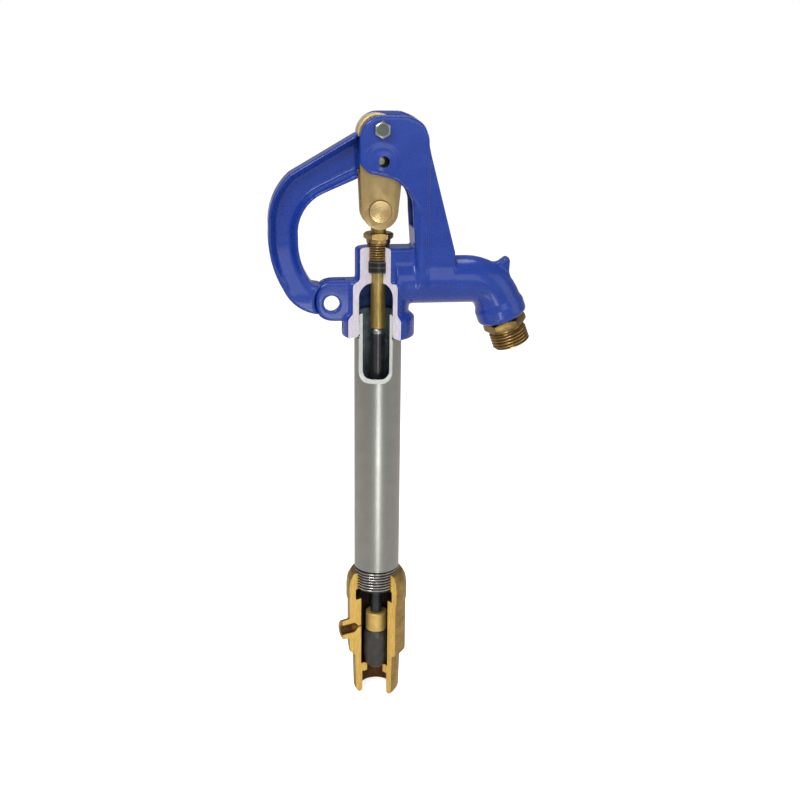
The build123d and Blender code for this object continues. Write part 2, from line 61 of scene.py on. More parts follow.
# name, place, size across and high, watts, aim height
for name, place, size, watts, height in (
    ("softbox_key", (-0.55, -0.7, 1.25), (0.5, 0.5), 7.8, 0.35),
    ("softbox_right", (1.0, -0.5, 0.6), (0.7, 1.0), 1.8, 0.28),
    ("softbox_top", (0.1, 0.3, 1.3), (0.6, 0.4), 3.0, 0.3),
    ("softbox_front", (0.25, -1.4, 0.75), (0.7, 0.7), 2.2, 0.3),
    ("strip_high", (-0.014, -0.55, 0.1), (0.11, 0.2), 0.34, 0.1),
    ("strip_low", (-0.005, -0.2, 0.085), (0.036, 0.16), 0.06, 0.085),
    ("bare_bulb", (-0.5, -1.0, 1.15), (0.07, 0.07), 1.2, 0.32),
):
    lamp = bpy.data.lights.new(name, "AREA")
    lamp.shape = "RECTANGLE"
    lamp.size, lamp.size_y = size
    lamp.energy = watts
    light = bpy.data.objects.new(name, lamp)
    light.location = place
    light.rotation_euler = (Vector((0, 0, height)) - light.location).to_track_quat("-Z", "Y").to_euler()
    bpy.context.collection.objects.link(light)


def linear(code):
    """sRGB hex colour to the linear colour that nodes take."""
    parts = [int(code[k : k + 2], 16) / 255 for k in (1, 3, 5)]
    return tuple(c / 12.92 if c <= 0.04045 else ((c + 0.055) / 1.055) ** 2.4 for c in parts) + (1.0,)


def add(tree, kind, inputs=(), ramp=(), **settings):
    """Adds a node with its settings, its inputs, by name or in order, linked or set to values, and its ramp's stops."""
    node = tree.nodes.new(kind if kind.startswith(("Geometry", "NodeGroup")) else "ShaderNode" + kind)
    for key, value in settings.items():
        setattr(node, key, value)
    for stop, (place, code) in zip(node.color_ramp.elements if ramp else (), ramp):
        stop.position, stop.color = place, linear(code)
    for key, value in inputs.items() if isinstance(inputs, dict) else enumerate(inputs):
        if isinstance(value, bpy.types.Node):
            value = value.outputs[0]
        if isinstance(value, bpy.types.NodeSocket):
            tree.links.new(value, node.inputs[key])
        else:
            node.inputs[key].default_value = value
    return node


def open_tree(name):
    """New material, its empty tree, and the place on the piece that its patterns follow."""
    material = bpy.data.materials.new(name)
    material.use_nodes = True
    tree = material.node_tree
    tree.nodes.clear()
    return material, tree, add(tree, "TexCoord").outputs["Object"]


# World: white to the camera; polished metal sees a room, brightest in front and dim behind and above
AMBIENT = 0.35
world = bpy.data.worlds.new("studio")
bpy.context.scene.world = world
world.use_nodes = True
sky = world.node_tree
sky.nodes.clear()
ray = add(sky, "LightPath").outputs
mirrored = add(sky, "Math", (ray["Is Glossy Ray"], ray["Is Transmission Ray"]), operation="MAXIMUM")
way_out = add(sky, "SeparateXYZ", (add(sky, "TexCoord").outputs["Generated"],)).outputs
# Map Range takes its value, then the range it comes from and the range it goes to
front = add(sky, "MapRange", (way_out["Y"], -0.9, 0.4, 0.55, 0.3), interpolation_type="SMOOTHSTEP")
above = add(sky, "MapRange", (way_out["Z"], -0.05, 0.6, 1.0, 0.6), interpolation_type="SMOOTHSTEP")
room = add(sky, "Math", (front, above), operation="MULTIPLY")
unseen = add(sky, "Mix", {"Factor": mirrored, "A": AMBIENT, "B": room}, data_type="FLOAT")
strength = add(sky, "Mix", {"Factor": ray["Is Camera Ray"], "A": unseen, "B": 1.0}, data_type="FLOAT")
add(sky, "OutputWorld", (add(sky, "Background", ((1, 1, 1, 1), strength)),))

MM = 0.001

# Sizes in mm, as in the solids: heights above the inlet mouth, radii about the pipe axis, depths from the middle
SEAT_LOW, SEAT_TOP, BODY_STEP, DRAIN_Z, RELIEF_LOW, RELIEF_TOP = 17.0, 24.2, 34.5, 57.0, 80.0, 88.6
PIPE_LOW, BODY_TOP, WINDOW_LOW, SOCKET_LOW, SOCKET_TOP, PIPE_TOP = 89.0, 102.0, 254.0, 285.0, 298.5, 301.4
CAVITY_TOP, SHOULDER, CHAMBER_LOW, CHAMBER_TOP, BOSS_TOP = 322.0, 323.0, 329.4, 337.3, 347.0
PIN_Z, UPPER_PIN_Z, PIVOT_Z, EAR_TOP, EAR_FOOT = 372.0, 405.5, 426.0, 435.9, 396.4
EAR_IN, EAR_OUT, GUSSET_HALF, LUG_GAP, LUG_OUT, EAR_LEAN = 10.0, 16.5, 14.5, 3.6, 9.0, 0.065
ARM_HALF, WEB_HALF, TONGUE_HALF, LOCK_HALF = 11.0, 3.6, 3.0, 3.2
PLATE_IN, PLATE_OUT, HUB_HALF, CROWN_HALF = 7.0, 9.8, 6.8, 9.85
PIPE_R, PIPE_BORE, COLUMN_R, SOCKET_R, CAVITY_R = 16.7, 13.3, 21.5, 25.6, 16.6
BOSS_X, BOSS_HALF, POST_LEFT = -4.6, 11.8, 25.6
STEM_R, GUIDE_R, CHAMBER_R, NUT_THREAD_R = 5.35, 5.7, 8.5, 8.0
INLET_R, INLET_ROOT, INLET_BORE, BODY_FLAT, COLLAR_R = 17.4, 18.4, 12.1, 21.5, 22.9
BODY_BORE, SEAT_BORE, RELIEF_R, RUBBER_R = 13.1, 7.8, 17.7, 9.8
PIPE_PITCH, NUT_PITCH, HOSE_PITCH, THREAD_LONG, THREAD_DEEP = 2.209, 1.7, 2.209, 17.0, 1.1
NUT_DEEP, CUT_ENDS = 0.75, (0.1, 0.1)
HEAD_CUT, BODY_CUT = (-60.0, 31.0), (-68.0, 34.0)
SPOUT_R, SPOUT_Z, WATERWAY_R, WATERWAY_Z = 16.5, 323.5, 8.0, 320.0
MOUTH, TILT = (90.2, 294.9), radians(20.6)
SPOUT_COLLAR_R, SPOUT_FACE_R, SHANK_R, NOZZLE_BORE, HOSE_R, HOSE_ROOT = 17.8, 15.0, 12.3, 9.6, 13.46, 12.3
HEX_NOZZLE, HEX_LONG, NECK_LONG, HOSE_LONG, SHANK_LONG = 27.0, 6.6, 1.6, 11.9, 12.0
LUG_X, LUG_Z, LUG_R, LUG_CORNER, LOCK_Z, LOCK_R = -33.2, 310.6, 14.2, 13.5, 309.3, 5.2
LUG_END, LUG_ROOT = -44.5, -23.6
BOLT_R, HEX_BOLT, BOLT_HEAD, WASHER, NUT = 3.0, 10.0, 4.0, 1.2, 5.0
ASSEMBLY_X, ASSEMBLY_R, HUB_R, LOWER_PIN_R, UPPER_PIN_R = 1.5, 3.6, 11.4, 7.55, 3.0
LINK_HOLE = (0.5, UPPER_PIN_Z + 1.7, 5.3)
THROUGH, RUNNING_GAP, THREAD_FIT, PIPE_CREST = 30.0, 0.06, 0.15, PIPE_R - 0.1
outlet_z = Vector((sin(TILT), 0, -cos(TILT)))
outlet = Matrix((Vector((0, 1, 0)), outlet_z.cross(Vector((0, 1, 0))), outlet_z)).transposed().to_4x4()
outlet.translation = Vector((MOUTH[0] * MM, 0, MOUTH[1] * MM))

# Mesh tools
SHARP_ANGLE, MERGE = 32.0, 1e-6


def link_mesh(name, mesh, *materials):
    piece = bpy.data.objects.new(name, mesh)
    bpy.context.collection.objects.link(piece)
    for material in materials:
        if material.name not in mesh.materials:
            mesh.materials.append(material)
    return piece


def outward(mesh):
    """Merges doubles and turns every face outwards."""
    work = bmesh.new()
    work.from_mesh(mesh)
    bmesh.ops.remove_doubles(work, verts=work.verts, dist=MERGE)
    bmesh.ops.dissolve_degenerate(work, edges=work.edges, dist=MERGE)
    bmesh.ops.recalc_face_normals(work, faces=work.faces)
    work.to_mesh(mesh)
    work.free()


def make_mesh(name, points, faces, *materials):
    """Object from points in mm and faces given by the numbers of their points."""
    mesh = bpy.data.meshes.new(name)
    mesh.from_pydata([tuple(c * MM for c in p) for p in points], [], faces)
    outward(mesh)
    return link_mesh(name, mesh, *materials)


def smooth(piece):
    """Shades a finished piece, smooth but for its sharp edges."""
    piece.data.validate()
    piece.data.shade_smooth()
    piece.data.set_sharp_from_angle(angle=radians(SHARP_ANGLE))


def soften(points, radius, steps=4):
    """Closed outline with each corner rounded, by radius or as much as its sides allow."""
    result = []
    count = len(points)
    for k, here in enumerate(points):
        here_v = Vector(here)
        to_before, to_after = Vector(points[k - 1]) - here_v, Vector(points[(k + 1) % count]) - here_v
        if min(to_before.length, to_after.length) < 1e-6:
            continue
        r = radius[k] if isinstance(radius, (list, tuple)) else radius
        half = to_before.angle(to_after) / 2
        if r <= 0 or half > radians(88):
            result.append(tuple(here))
            continue
        reach = min(r / tan(half), 0.495 * to_before.length, 0.495 * to_after.length)
        start, end = here_v + to_before.normalized() * reach, here_v + to_after.normalized() * reach
        for step in range(steps + 1):
            t = step / steps
            result.append(tuple(start * (1 - t) ** 2 + here_v * 2 * t * (1 - t) + end * t**2))
    return result


def lathe(name, line, *materials, around=96):
    """Closed (radius, height) outline turned about the pipe axis."""
    count = len(line)
    turns = [2 * pi * k / around for k in range(around)]
    points = [(r * cos(a), r * sin(a), z) for a in turns for r, z in line]
    faces = []
    for here, row in product(range(0, len(points), count), range(count)):
        there, after = (here + count) % len(points), (row + 1) % count
        if line[row][0] > 1e-6 or line[after][0] > 1e-6:
            faces.append((here + row, here + after, there + after, there + row))
    return make_mesh(name, points, faces, *materials)


def sleeve(name, low, high, bore, r, *materials, around=96):
    """Plain ring or bar about the pipe axis."""
    return lathe(name, [(bore, low), (r, low), (r, high), (bore, high)], *materials, around=around)


def prism(name, outline, low, high, *materials, along="Y"):
    """Closed outline in X and Z drawn out along Y, or in X and Y drawn out along Z."""
    count = len(outline)
    points = [(a, d, b) if along == "Y" else (a, b, d) for d in (low, high) for a, b in outline]
    faces = [tuple(range(count)), tuple(range(count, 2 * count))]
    faces += [(k, (k + 1) % count, (k + 1) % count + count, k + count) for k in range(count)]
    return make_mesh(name, points, faces, *materials)


def drill(name, x, z, r):
    """Cutter for a round hole right through along Y."""
    return prism(name, [(x + r * cos(pi * k / 36), z + r * sin(pi * k / 36)) for k in range(72)], -THROUGH, THROUGH)


def bake(piece):
    """Turns a piece's modifiers into its own mesh."""
    graph = bpy.context.evaluated_depsgraph_get()
    mesh = bpy.data.meshes.new_from_object(piece.evaluated_get(graph))
    piece.modifiers.clear()
    piece.data = mesh


def carve(piece, *tools, operation="DIFFERENCE"):
    """Cuts the tools out of a piece, or keeps what it shares with them, and deletes the tools."""
    for tool in tools:
        tool.data.materials.clear()
        for material in piece.data.materials:
            tool.data.materials.append(material)
        old = piece.data
        spread = sum(v.co.length for v in old.vertices)
        for solver in ("MANIFOLD", "EXACT"):
            modifier = piece.modifiers.new("carve", "BOOLEAN")
            modifier.operation, modifier.object, modifier.solver = operation, tool, solver
            bake(piece)
            count = len(piece.data.polygons)
            moved = abs(sum(v.co.length for v in piece.data.vertices) - spread) > 1e-7
            if count > 3 and (count != len(old.polygons) or moved):
                break
            piece.data = old
        bpy.data.objects.remove(tool)
    return piece


def bevel(piece, width, segments=2, angle=30.0):
    modifier = piece.modifiers.new("bevel", "BEVEL")
    modifier.width, modifier.segments = width * MM, segments
    modifier.limit_method, modifier.angle_limit = "ANGLE", radians(angle)
    bake(piece)
    return piece


def place_on(piece, matrix):
    piece.data.transform(matrix)
    return piece


def join(name, *pieces):
    """One object from several, keeping their materials."""
    work = bmesh.new()
    materials = []
    for piece in pieces:
        start = len(work.faces)
        work.from_mesh(piece.data)
        work.faces.ensure_lookup_table()
        own = list(piece.data.materials)
        materials += [m for m in own if m not in materials]
        for face in work.faces[start:]:
            face.material_index = materials.index(own[min(face.material_index, len(own) - 1)])
    mesh = bpy.data.meshes.new(name)
    work.to_mesh(mesh)
    work.free()
    for piece in pieces:
        bpy.data.objects.remove(piece)
    return link_mesh(name, mesh, *materials)


def faces_of(piece):
    """Middle in mm, normal and distance in mm from the pipe axis of every face."""
    polygons = piece.data.polygons
    middle, normal = np.empty(len(polygons) * 3), np.empty(len(polygons) * 3)
    polygons.foreach_get("center", middle)
    polygons.foreach_get("normal", normal)
    middle = middle.reshape(-1, 3) / MM
    return middle, normal.reshape(-1, 3), np.hypot(middle[:, 0], middle[:, 1])


def paint(piece, chosen, material):
    """Gives the chosen faces a material."""
    if material.name not in piece.data.materials:
        piece.data.materials.append(material)
    index = np.empty(len(piece.data.polygons), dtype=np.int32)
    piece.data.polygons.foreach_get("material_index", index)
    index[chosen] = piece.data.materials.find(material.name)
    piece.data.polygons.foreach_set("material_index", index)
    piece.data.update()


# Sculpting with distance fields: the cast pieces are blended solids with soft corners, skinned in one go
CORNERS = list(product((0, 1), repeat=3))


class Block:
    """Grid of points, x, y and z in mm, for the field of one casting."""

    def __init__(self, low, high, step):
        self.low, self.step = np.array(low, float), step
        rows = [a + step * np.arange(int((b - a) / step) + 2) for a, b in zip(low, high)]
        self.x, self.y, self.z = (row.astype(np.float32) for row in np.ix_(*rows))

    def skin(self, name, field, *materials):
        """Closed skin where the field passes zero, one point in each cell that it crosses."""
        shape = np.broadcast_shapes(field.shape, self.x.shape, self.y.shape, self.z.shape)
        field = np.broadcast_to(field, shape).astype(np.float32)
        at = {c: field[tuple(slice(k, k + n - 1) for k, n in zip(c, shape))] for c in CORNERS}
        count = sum((at[c] < 0).astype(np.int8) for c in CORNERS)
        crossed = (count > 0) & (count < 8)
        at = {c: at[c][crossed] for c in CORNERS}
        cells = np.argwhere(crossed)
        number = np.full(crossed.shape, -1, np.int64)
        number[crossed] = np.arange(len(cells))
        total, hits = np.zeros((len(cells), 3)), np.zeros(len(cells))
        # where the field passes zero on each edge of the cell
        for start, axis in product(CORNERS, range(3)):
            if not start[axis]:
                end = tuple(k or a == axis for a, k in enumerate(start))
                cut = (at[start] < 0) != (at[end] < 0)
                spot = np.tile(np.array(start, float), (len(cells), 1))
                spot[:, axis] = np.where(cut, at[start] / np.where(cut, at[start] - at[end], 1), 0)
                total += spot * cut[:, None]
                hits += cut
        points = cells + total / hits[:, None]
        # the mean of those is pulled onto the skin, twice
        for _ in range(2):
            base = np.clip(np.floor(points).astype(int), 0, np.array(shape) - 2)
            part = points - base
            value, slope = np.zeros(len(points)), np.zeros((len(points), 3))
            for c in CORNERS:
                level = field[tuple((base + c).T)]
                weight = np.where(c, part, 1 - part)
                value += level * weight[:, 0] * weight[:, 1] * weight[:, 2]
                for a in range(3):
                    slope[:, a] += level * weight[:, (a + 1) % 3] * weight[:, (a + 2) % 3] * (1 if c[a] else -1)
            steep = np.maximum((slope**2).sum(1), 0.05)
            points -= np.clip(0.8 * value / steep, -0.4, 0.4)[:, None] * slope
        quads = []
        for axis in range(3):
            others = [(axis + 1) % 3, (axis + 2) % 3]
            here, there = [slice(1, -1)] * 3, [slice(1, -1)] * 3
            here[axis], there[axis] = slice(0, -1), slice(1, None)
            first, second = field[tuple(here)] < 0, field[tuple(there)] < 0
            for order, change in ((1, first & ~second), (-1, ~first & second)):
                ring = []
                for step in ((0, 0), (1, 0), (1, 1), (0, 1)):
                    cell = np.argwhere(change)
                    cell[:, others] += step
                    ring.append(number[tuple(cell.T)])
                quads.append(np.stack(ring, 1)[:, ::order])
        quads = np.concatenate(quads)
        mesh = bpy.data.meshes.new(name)
        mesh.vertices.add(len(points))
        mesh.vertices.foreach_set("co", ((self.low + self.step * points) * MM).ravel())
        mesh.loops.add(quads.size)
        mesh.loops.foreach_set("vertex_index", quads.ravel().astype(np.int32))
        mesh.polygons.add(len(quads))
        mesh.polygons.foreach_set("loop_start", np.arange(0, quads.size, 4, dtype=np.int32))
        mesh.update(calc_edges=True)
        mesh.validate()
        return link_mesh(name, mesh, *materials)


def off_path(points, a, b):
    """Distance to an open line of points."""
    best = np.inf
    for (x0, y0), (x1, y1) in zip(points, points[1:]):
        ex, ey = x1 - x0, y1 - y0
        wx, wy = a - x0, b - y0
        t = np.clip((wx * ex + wy * ey) / (ex * ex + ey * ey), 0, 1)
        best = np.minimum(best, (wx - t * ex) ** 2 + (wy - t * ey) ** 2)
    return np.sqrt(best)


def inside(points, a, b):
    """Distance to a closed outline, below zero inside."""
    within = False
    for (x0, y0), (x1, y1) in zip(points, points[1:] + points[:1]):
        if y1 != y0:
            within = within ^ (((y0 <= b) != (y1 <= b)) & (a < x0 + (b - y0) * (x1 - x0) / (y1 - y0)))
    return off_path(points + points[:1], a, b) * np.where(within, -1, 1)


def slab(flat, depth, radius):
    """Meeting of an outline and a thickness, with its edges rounded by radius."""
    a, b = flat + radius, depth + radius
    return np.minimum(np.maximum(a, b), 0) + np.sqrt(np.maximum(a, 0) ** 2 + np.maximum(b, 0) ** 2) - radius


def melt(a, b, k):
    """Union with a fillet of about k."""
    h = np.clip(0.5 + 0.5 * (b - a) / k, 0, 1)
    return b * (1 - h) + a * h - k * h * (1 - h)


def hollow(a, b, k):
    """a with b taken away, the edge rounded by about k."""
    return -melt(-a, b, k)


def aim(angle, r=1.0):
    """Direction at an angle from the front towards +X, seen from above."""
    return r * sin(radians(angle)), -r * cos(radians(angle))


CUT_REACH = 70.0


def wedge(name, cut, low, high):
    """Cutter for the upright wedge that the display cut takes away."""
    left, right_side = cut
    rim = [aim(left + (right_side - left) * k / 6, CUT_REACH) for k in range(7)]
    return prism(name, [(0.0, 0.0)] + rim, low, high, along="Z")


def knee_path(start, z, radius):
    """Run of the spout in X and Z: level from start at height z, round the elbow, down to the mouth."""
    knee = Vector((MOUTH[0] - (z - MOUTH[1]) * tan(TILT), z))
    reach = radius * tan((pi / 2 - TILT) / 2)
    centre = Vector((knee.x - reach, z - radius))
    arc = [centre + radius * Vector((sin(a), cos(a))) for a in np.linspace(0, pi / 2 - TILT, 10)]
    return [(start, z)] + [tuple(p) for p in arc] + [MOUTH]


# Threads
THREAD_INPUTS = dict.fromkeys(("Low", "High", "Bore", "Crest", "Depth", "Pitch", "Crest Flat", "Root Flat"), "Float")
THREAD_INPUTS |= {"Run Out Low": "Float", "Run Out High": "Float", "Around": "Int", "Rows": "Int"}
THREAD_INPUTS |= {"Material": "Material"}
ROWS_PER_TURN, CLOSING_ROWS = 12, 4


def thread_tree():
    """Tree of a thread: a wall wound round the axis, its ridge rising with the angle, closed by its ends and bore."""
    tree = bpy.data.node_groups.new("screw_thread", "GeometryNodeTree")
    tree.interface.new_socket("Geometry", in_out="OUTPUT", socket_type="NodeSocketGeometry")
    for name, kind in THREAD_INPUTS.items():
        tree.interface.new_socket(name, in_out="INPUT", socket_type="NodeSocket" + kind)
    given = add(tree, "NodeGroupInput").outputs
    spot = add(tree, "SeparateXYZ", (add(tree, "GeometryNodeInputPosition"),)).outputs
    known = {name: given[name] for name in THREAD_INPUTS} | {"X": spot["X"], "Y": spot["Y"]}
    for name, operation, *values in (
        ("columns", "ADD", "Around", 1.0),
        ("turn", "ADD", "X", 0.5),
        ("up", "ADD", "Y", 0.5),
        ("last row", "SUBTRACT", "Rows", 1.0),
        ("row", "MULTIPLY", "up", "last row"),
        ("wall row", "SUBTRACT", "row", 1.0),
        ("wall rows", "SUBTRACT", "Rows", 4.0),
        ("share", "DIVIDE", "wall row", "wall rows"),
        ("shut from", "SUBTRACT", "Rows", 1.5),
        ("shut", "GREATER_THAN", "row", "shut from"),
        ("open", "SUBTRACT", 1.0, "shut"),
        ("open share", "MULTIPLY", "share", "open"),
        ("length", "SUBTRACT", "High", "Low"),
        ("height", "MULTIPLY_ADD", "open share", "length", "Low"),
        ("pitches", "DIVIDE", "height", "Pitch"),
        ("wound", "SUBTRACT", "pitches", "turn"),
        ("phase", "FRACT", "wound"),
        ("from ridge", "SUBTRACT", "phase", 0.5),
        ("off", "ABSOLUTE", "from ridge"),
        ("off ridge", "MULTIPLY", "off", 2.0),
        ("root edge", "SUBTRACT", 1.0, "Root Flat"),
        ("ridge", "MAP_RANGE", "off ridge", "Crest Flat", "root edge", 1.0, 0.0),
        ("above low", "SUBTRACT", "height", "Low"),
        ("fade low", "DIVIDE", "above low", "Run Out Low"),
        ("below high", "SUBTRACT", "High", "height"),
        ("fade high", "DIVIDE", "below high", "Run Out High"),
        ("fade", "MULTIPLY", "fade low", "fade high"),
        ("rise", "MULTIPLY", "ridge", "fade"),
        ("root", "SUBTRACT", "Crest", "Depth"),
        ("wall", "MULTIPLY_ADD", "rise", "Depth", "root"),
        ("past start", "GREATER_THAN", "row", 0.5),
        ("wall end", "SUBTRACT", "Rows", 2.5),
        ("before end", "LESS_THAN", "row", "wall end"),
        ("on wall", "MULTIPLY", "past start", "before end"),
        ("angle", "MULTIPLY", "turn", 2 * pi),
        ("cosine", "COSINE", "angle"),
        ("sine", "SINE", "angle"),
    ):
        values = [known.get(v, v) for v in values]
        if operation == "MAP_RANGE":
            known[name] = add(tree, "MapRange", values)
        else:
            clamped = name in ("share", "fade low", "fade high")
            known[name] = add(tree, "Math", values, operation=operation, use_clamp=clamped)
    radius = {"Factor": known["on wall"], "A": given["Bore"], "B": known["wall"]}
    radius = add(tree, "Mix", radius, data_type="FLOAT")
    across = add(tree, "Math", (radius, known["cosine"]), operation="MULTIPLY")
    deep = add(tree, "Math", (radius, known["sine"]), operation="MULTIPLY")
    place = add(tree, "CombineXYZ", (across, deep, known["height"]))
    grid = {"Size X": 1.0, "Size Y": 1.0, "Vertices X": known["columns"], "Vertices Y": given["Rows"]}
    grid = add(tree, "GeometryNodeMeshGrid", grid)
    wound = add(tree, "GeometryNodeSetPosition", {"Geometry": grid, "Position": place})
    shut = add(tree, "GeometryNodeMergeByDistance", {"Geometry": wound, "Distance": 0.002})
    in_metres = add(tree, "GeometryNodeTransform", {"Geometry": shut, "Scale": (MM, MM, MM)})
    real = add(tree, "GeometryNodeRealizeInstances", (in_metres,))
    add(tree, "NodeGroupOutput", (
        add(tree, "GeometryNodeSetMaterial", {"Geometry": real, "Material": given["Material"]}),
    ))
    return tree


thread_nodes = thread_tree()


def thread(name, material, low, high, bore, crest, depth, pitch, fades=(1.0, 1.0), flats=(0.16, 0.12), around=96):
    """Threaded bar or tube between two heights, made by the node tree and turned to a plain mesh.

    fades are the lengths over which the ridge runs out at the ends, flats the shares of crest and root.
    """
    piece = link_mesh(name, bpy.data.meshes.new(name))
    modifier = piece.modifiers.new("thread", "NODES")
    modifier.node_group = thread_nodes
    rows = int((high - low) / pitch * ROWS_PER_TURN) + CLOSING_ROWS
    values = dict(zip(THREAD_INPUTS, (low, high, bore, crest, depth, pitch, *flats, *fades, around, rows, material)))
    for socket in thread_nodes.interface.items_tree:
        if socket.in_out == "INPUT":
            modifier[socket.identifier] = values[socket.name]
    bake(piece)
    outward(piece.data)
    piece.data.materials.clear()
    piece.data.materials.append(material)
    piece.data.polygons.foreach_set("material_index", np.zeros(len(piece.data.polygons), np.int32))
    return piece


def darken_roots(piece, crest, depth, material, share=0.5):
    """Gives the bottom of a thread's grooves a dark material of its own: oil and tarnish, and painted shade between the
    crests.
    """
    middle, normal, from_axis = faces_of(piece)
    paint(piece, (from_axis < crest - share * depth) & (from_axis > crest - depth - 0.1), material)


def per(size):
    """Texture scale for a pattern of this real size in mm, on coordinates in metres."""
    return 1000.0 / size


# Materials
def enamel():
    """Gloss enamel sprayed on sand-cast iron: a hard wet shine that swells with the casting under it."""
    material, tree, spot = open_tree("gloss_enamel_on_sand_cast_iron")
    swell = add(tree, "TexNoise", {"Vector": spot, "Scale": per(11.0), "Detail": 1.5, "Roughness": 0.45})
    grain = add(tree, "TexNoise", {"Vector": spot, "Scale": per(1.9), "Detail": 2.0, "Roughness": 0.55})
    shade = add(tree, "ValToRGB", (swell,), ((0.3, "#1B3A94"), (0.72, "#20419E")))
    rough = add(tree, "MapRange", (grain, 0.3, 0.7, 0.24, 0.34))
    low = add(tree, "Bump", {"Height": swell, "Strength": 0.2, "Distance": 0.8 * MM})
    skin = add(tree, "Bump", {"Height": grain, "Strength": 0.12, "Distance": 0.1 * MM, "Normal": low})
    gloss = {"Specular IOR Level": 0.32, "Coat Weight": 0.35, "Coat Roughness": 0.07}
    shader = add(tree, "BsdfPrincipled", {"Base Color": shade, "Roughness": rough, "Normal": skin} | gloss)
    add(tree, "OutputMaterial", (shader,))
    return material


def section_paint(name, light, dark, stroke):
    """Flat brushed-on paint that marks a sawn face: pale, matt, with the slant of the brush in it."""
    material, tree, spot = open_tree(name)
    slant = add(tree, "Mapping", {"Vector": spot, "Rotation": (0.0, radians(38), 0.0), "Scale": (1.0, 1.0, 0.22)})
    brush = {"Vector": slant, "Scale": per(stroke), "Detail": 3.0, "Roughness": 0.6, "Distortion": 0.6}
    brush = add(tree, "TexNoise", brush)
    shade = add(tree, "ValToRGB", (brush,), ((0.3, dark), (0.7, light)))
    marks = add(tree, "Bump", {"Height": brush, "Strength": 0.35, "Distance": 0.2 * MM})
    shader = add(tree, "BsdfPrincipled", {"Base Color": shade, "Roughness": 0.5, "Normal": marks})
    add(tree, "OutputMaterial", (shader,))
    return material


def metal(name, light, dark, rough, grain, depth, stretch=(1, 1, 1), turned=0.0, faced=None, metallic=1.0):
    """Bare metal: its colour drifts in patches, and its tool marks run the way that stretch says.

    grain is the size of a mark and depth how deep it is, turned the pitch of lathe rings, all in mm,
    faced the height of the axis of a pin that was faced on a lathe, metallic less than 1 under an oxide film.
    """
    material, tree, spot = open_tree(name)
    patch = add(tree, "TexNoise", {"Vector": spot, "Scale": per(9.0), "Detail": 3.0, "Roughness": 0.6})
    drawn = add(tree, "Mapping", {"Vector": spot, "Scale": stretch})
    marks = add(tree, "TexNoise", {"Vector": drawn, "Scale": per(grain), "Detail": 4.0, "Roughness": 0.65})
    patch = add(tree, "Math", (patch, 0.45), operation="MULTIPLY")
    mixed = add(tree, "Math", (marks, 0.55, patch), operation="MULTIPLY_ADD")
    shade = add(tree, "ValToRGB", (mixed,), ((0.34, dark), (0.64, light)))
    gloss = add(tree, "MapRange", (mixed, 0.3, 0.7, rough + 0.08, rough))
    bump = add(tree, "Bump", {"Height": marks, "Strength": 0.4, "Distance": depth * MM})
    if turned:
        kind = {"wave_type": "BANDS", "bands_direction": "Z"}
        if faced is not None:
            kind = {"wave_type": "RINGS", "rings_direction": "Y"}
            spot = add(tree, "Mapping", {"Vector": spot, "Location": (0.0, 0.0, -faced * MM)})
        rings = {"Vector": spot, "Scale": per(turned) * pi / 10, "Distortion": 0.3, "Detail": 1.0}
        rings = add(tree, "TexWave", rings, **kind)
        bump = add(tree, "Bump", {"Height": rings, "Strength": 0.7, "Distance": 0.03 * MM, "Normal": bump})
    shader = {"Base Color": shade, "Metallic": metallic, "Roughness": gloss, "Normal": bump}
    add(tree, "OutputMaterial", (add(tree, "BsdfPrincipled", shader),))
    return material


def dull(name, light, dark, rough, grain, depth):
    """Non-metal skin of one dark colour, in soft patches, with a fine grain of this size and depth in mm."""
    material, tree, spot = open_tree(name)
    patch = add(tree, "TexNoise", {"Vector": spot, "Scale": per(6.0), "Detail": 3.0})
    fine = add(tree, "TexNoise", {"Vector": spot, "Scale": per(grain), "Detail": 2.0})
    shade = add(tree, "ValToRGB", (patch,), ((0.35, dark), (0.68, light)))
    gloss = add(tree, "MapRange", (fine, 0.3, 0.7, rough - 0.05, rough + 0.07))
    bump = add(tree, "Bump", {"Height": fine, "Strength": 0.35, "Distance": depth * MM})
    shader = add(tree, "BsdfPrincipled", {"Base Color": shade, "Roughness": gloss, "Normal": bump})
    add(tree, "OutputMaterial", (shader,))
    return material


blue = enamel()
# Matt paint on the sawn iron, pipe wall and brass: each section reads as one flat pale colour
lilac = section_paint("lilac_section_paint", "#F0E9F2", "#D8CEDD", 1.3)
pale = section_paint("off_white_section_paint", "#E9EBE6", "#CBCDC8", 1.3)
ochre = section_paint("ochre_section_paint", "#E8C468", "#CE9E40", 1.6)
# Cast in sand, under a thin oxide: brown-yellow, dull and grainy
cast_brass = metal("sand_cast_brass", "#BC9E60", "#866A3A", 0.4, 1.1, 0.12, metallic=0.9)
# Turned: bright yellow, its fine rings drawn coarser than they are so that they show
turned_brass = metal("turned_brass", "#CBAE72", "#9A7C44", 0.26, 0.5, 0.02, (1, 1, 6), turned=0.6)
# Turned and handled: the same, darker
nozzle_brass = metal("turned_brass_hose_end", "#9C8450", "#705A34", 0.28, 0.5, 0.03, (1, 1, 3))
# Painted highlight: cream, with a wide soft sheen, where the hub's crown shows lit
crown_highlight_brass = metal("painted_highlight_on_cast_brass", "#F0E4BC", "#CDBB88", 0.45, 0.9, 0.05, metallic=0.5)
# Painted light on the pin's end in a dark hole: almost white
lit_pin_end_brass = metal("painted_light_on_pin_end", "#FFF6DC", "#F2E6C4", 0.4, 0.5, 0.02, metallic=0.2)
# Drawn: olive yellow, its lines along the rod
stem_brass = metal("drawn_brass_rod", "#C2A868", "#96803E", 0.3, 0.5, 0.02, (1, 1, 0.1), metallic=0.72)
# Faced on a lathe: pale yellow, with rings round the pin
faced_brass = metal("faced_brass_pin_end", "#E4CC98", "#C4A468", 0.24, 0.5, 0.01, turned=0.7, faced=PIN_Z)
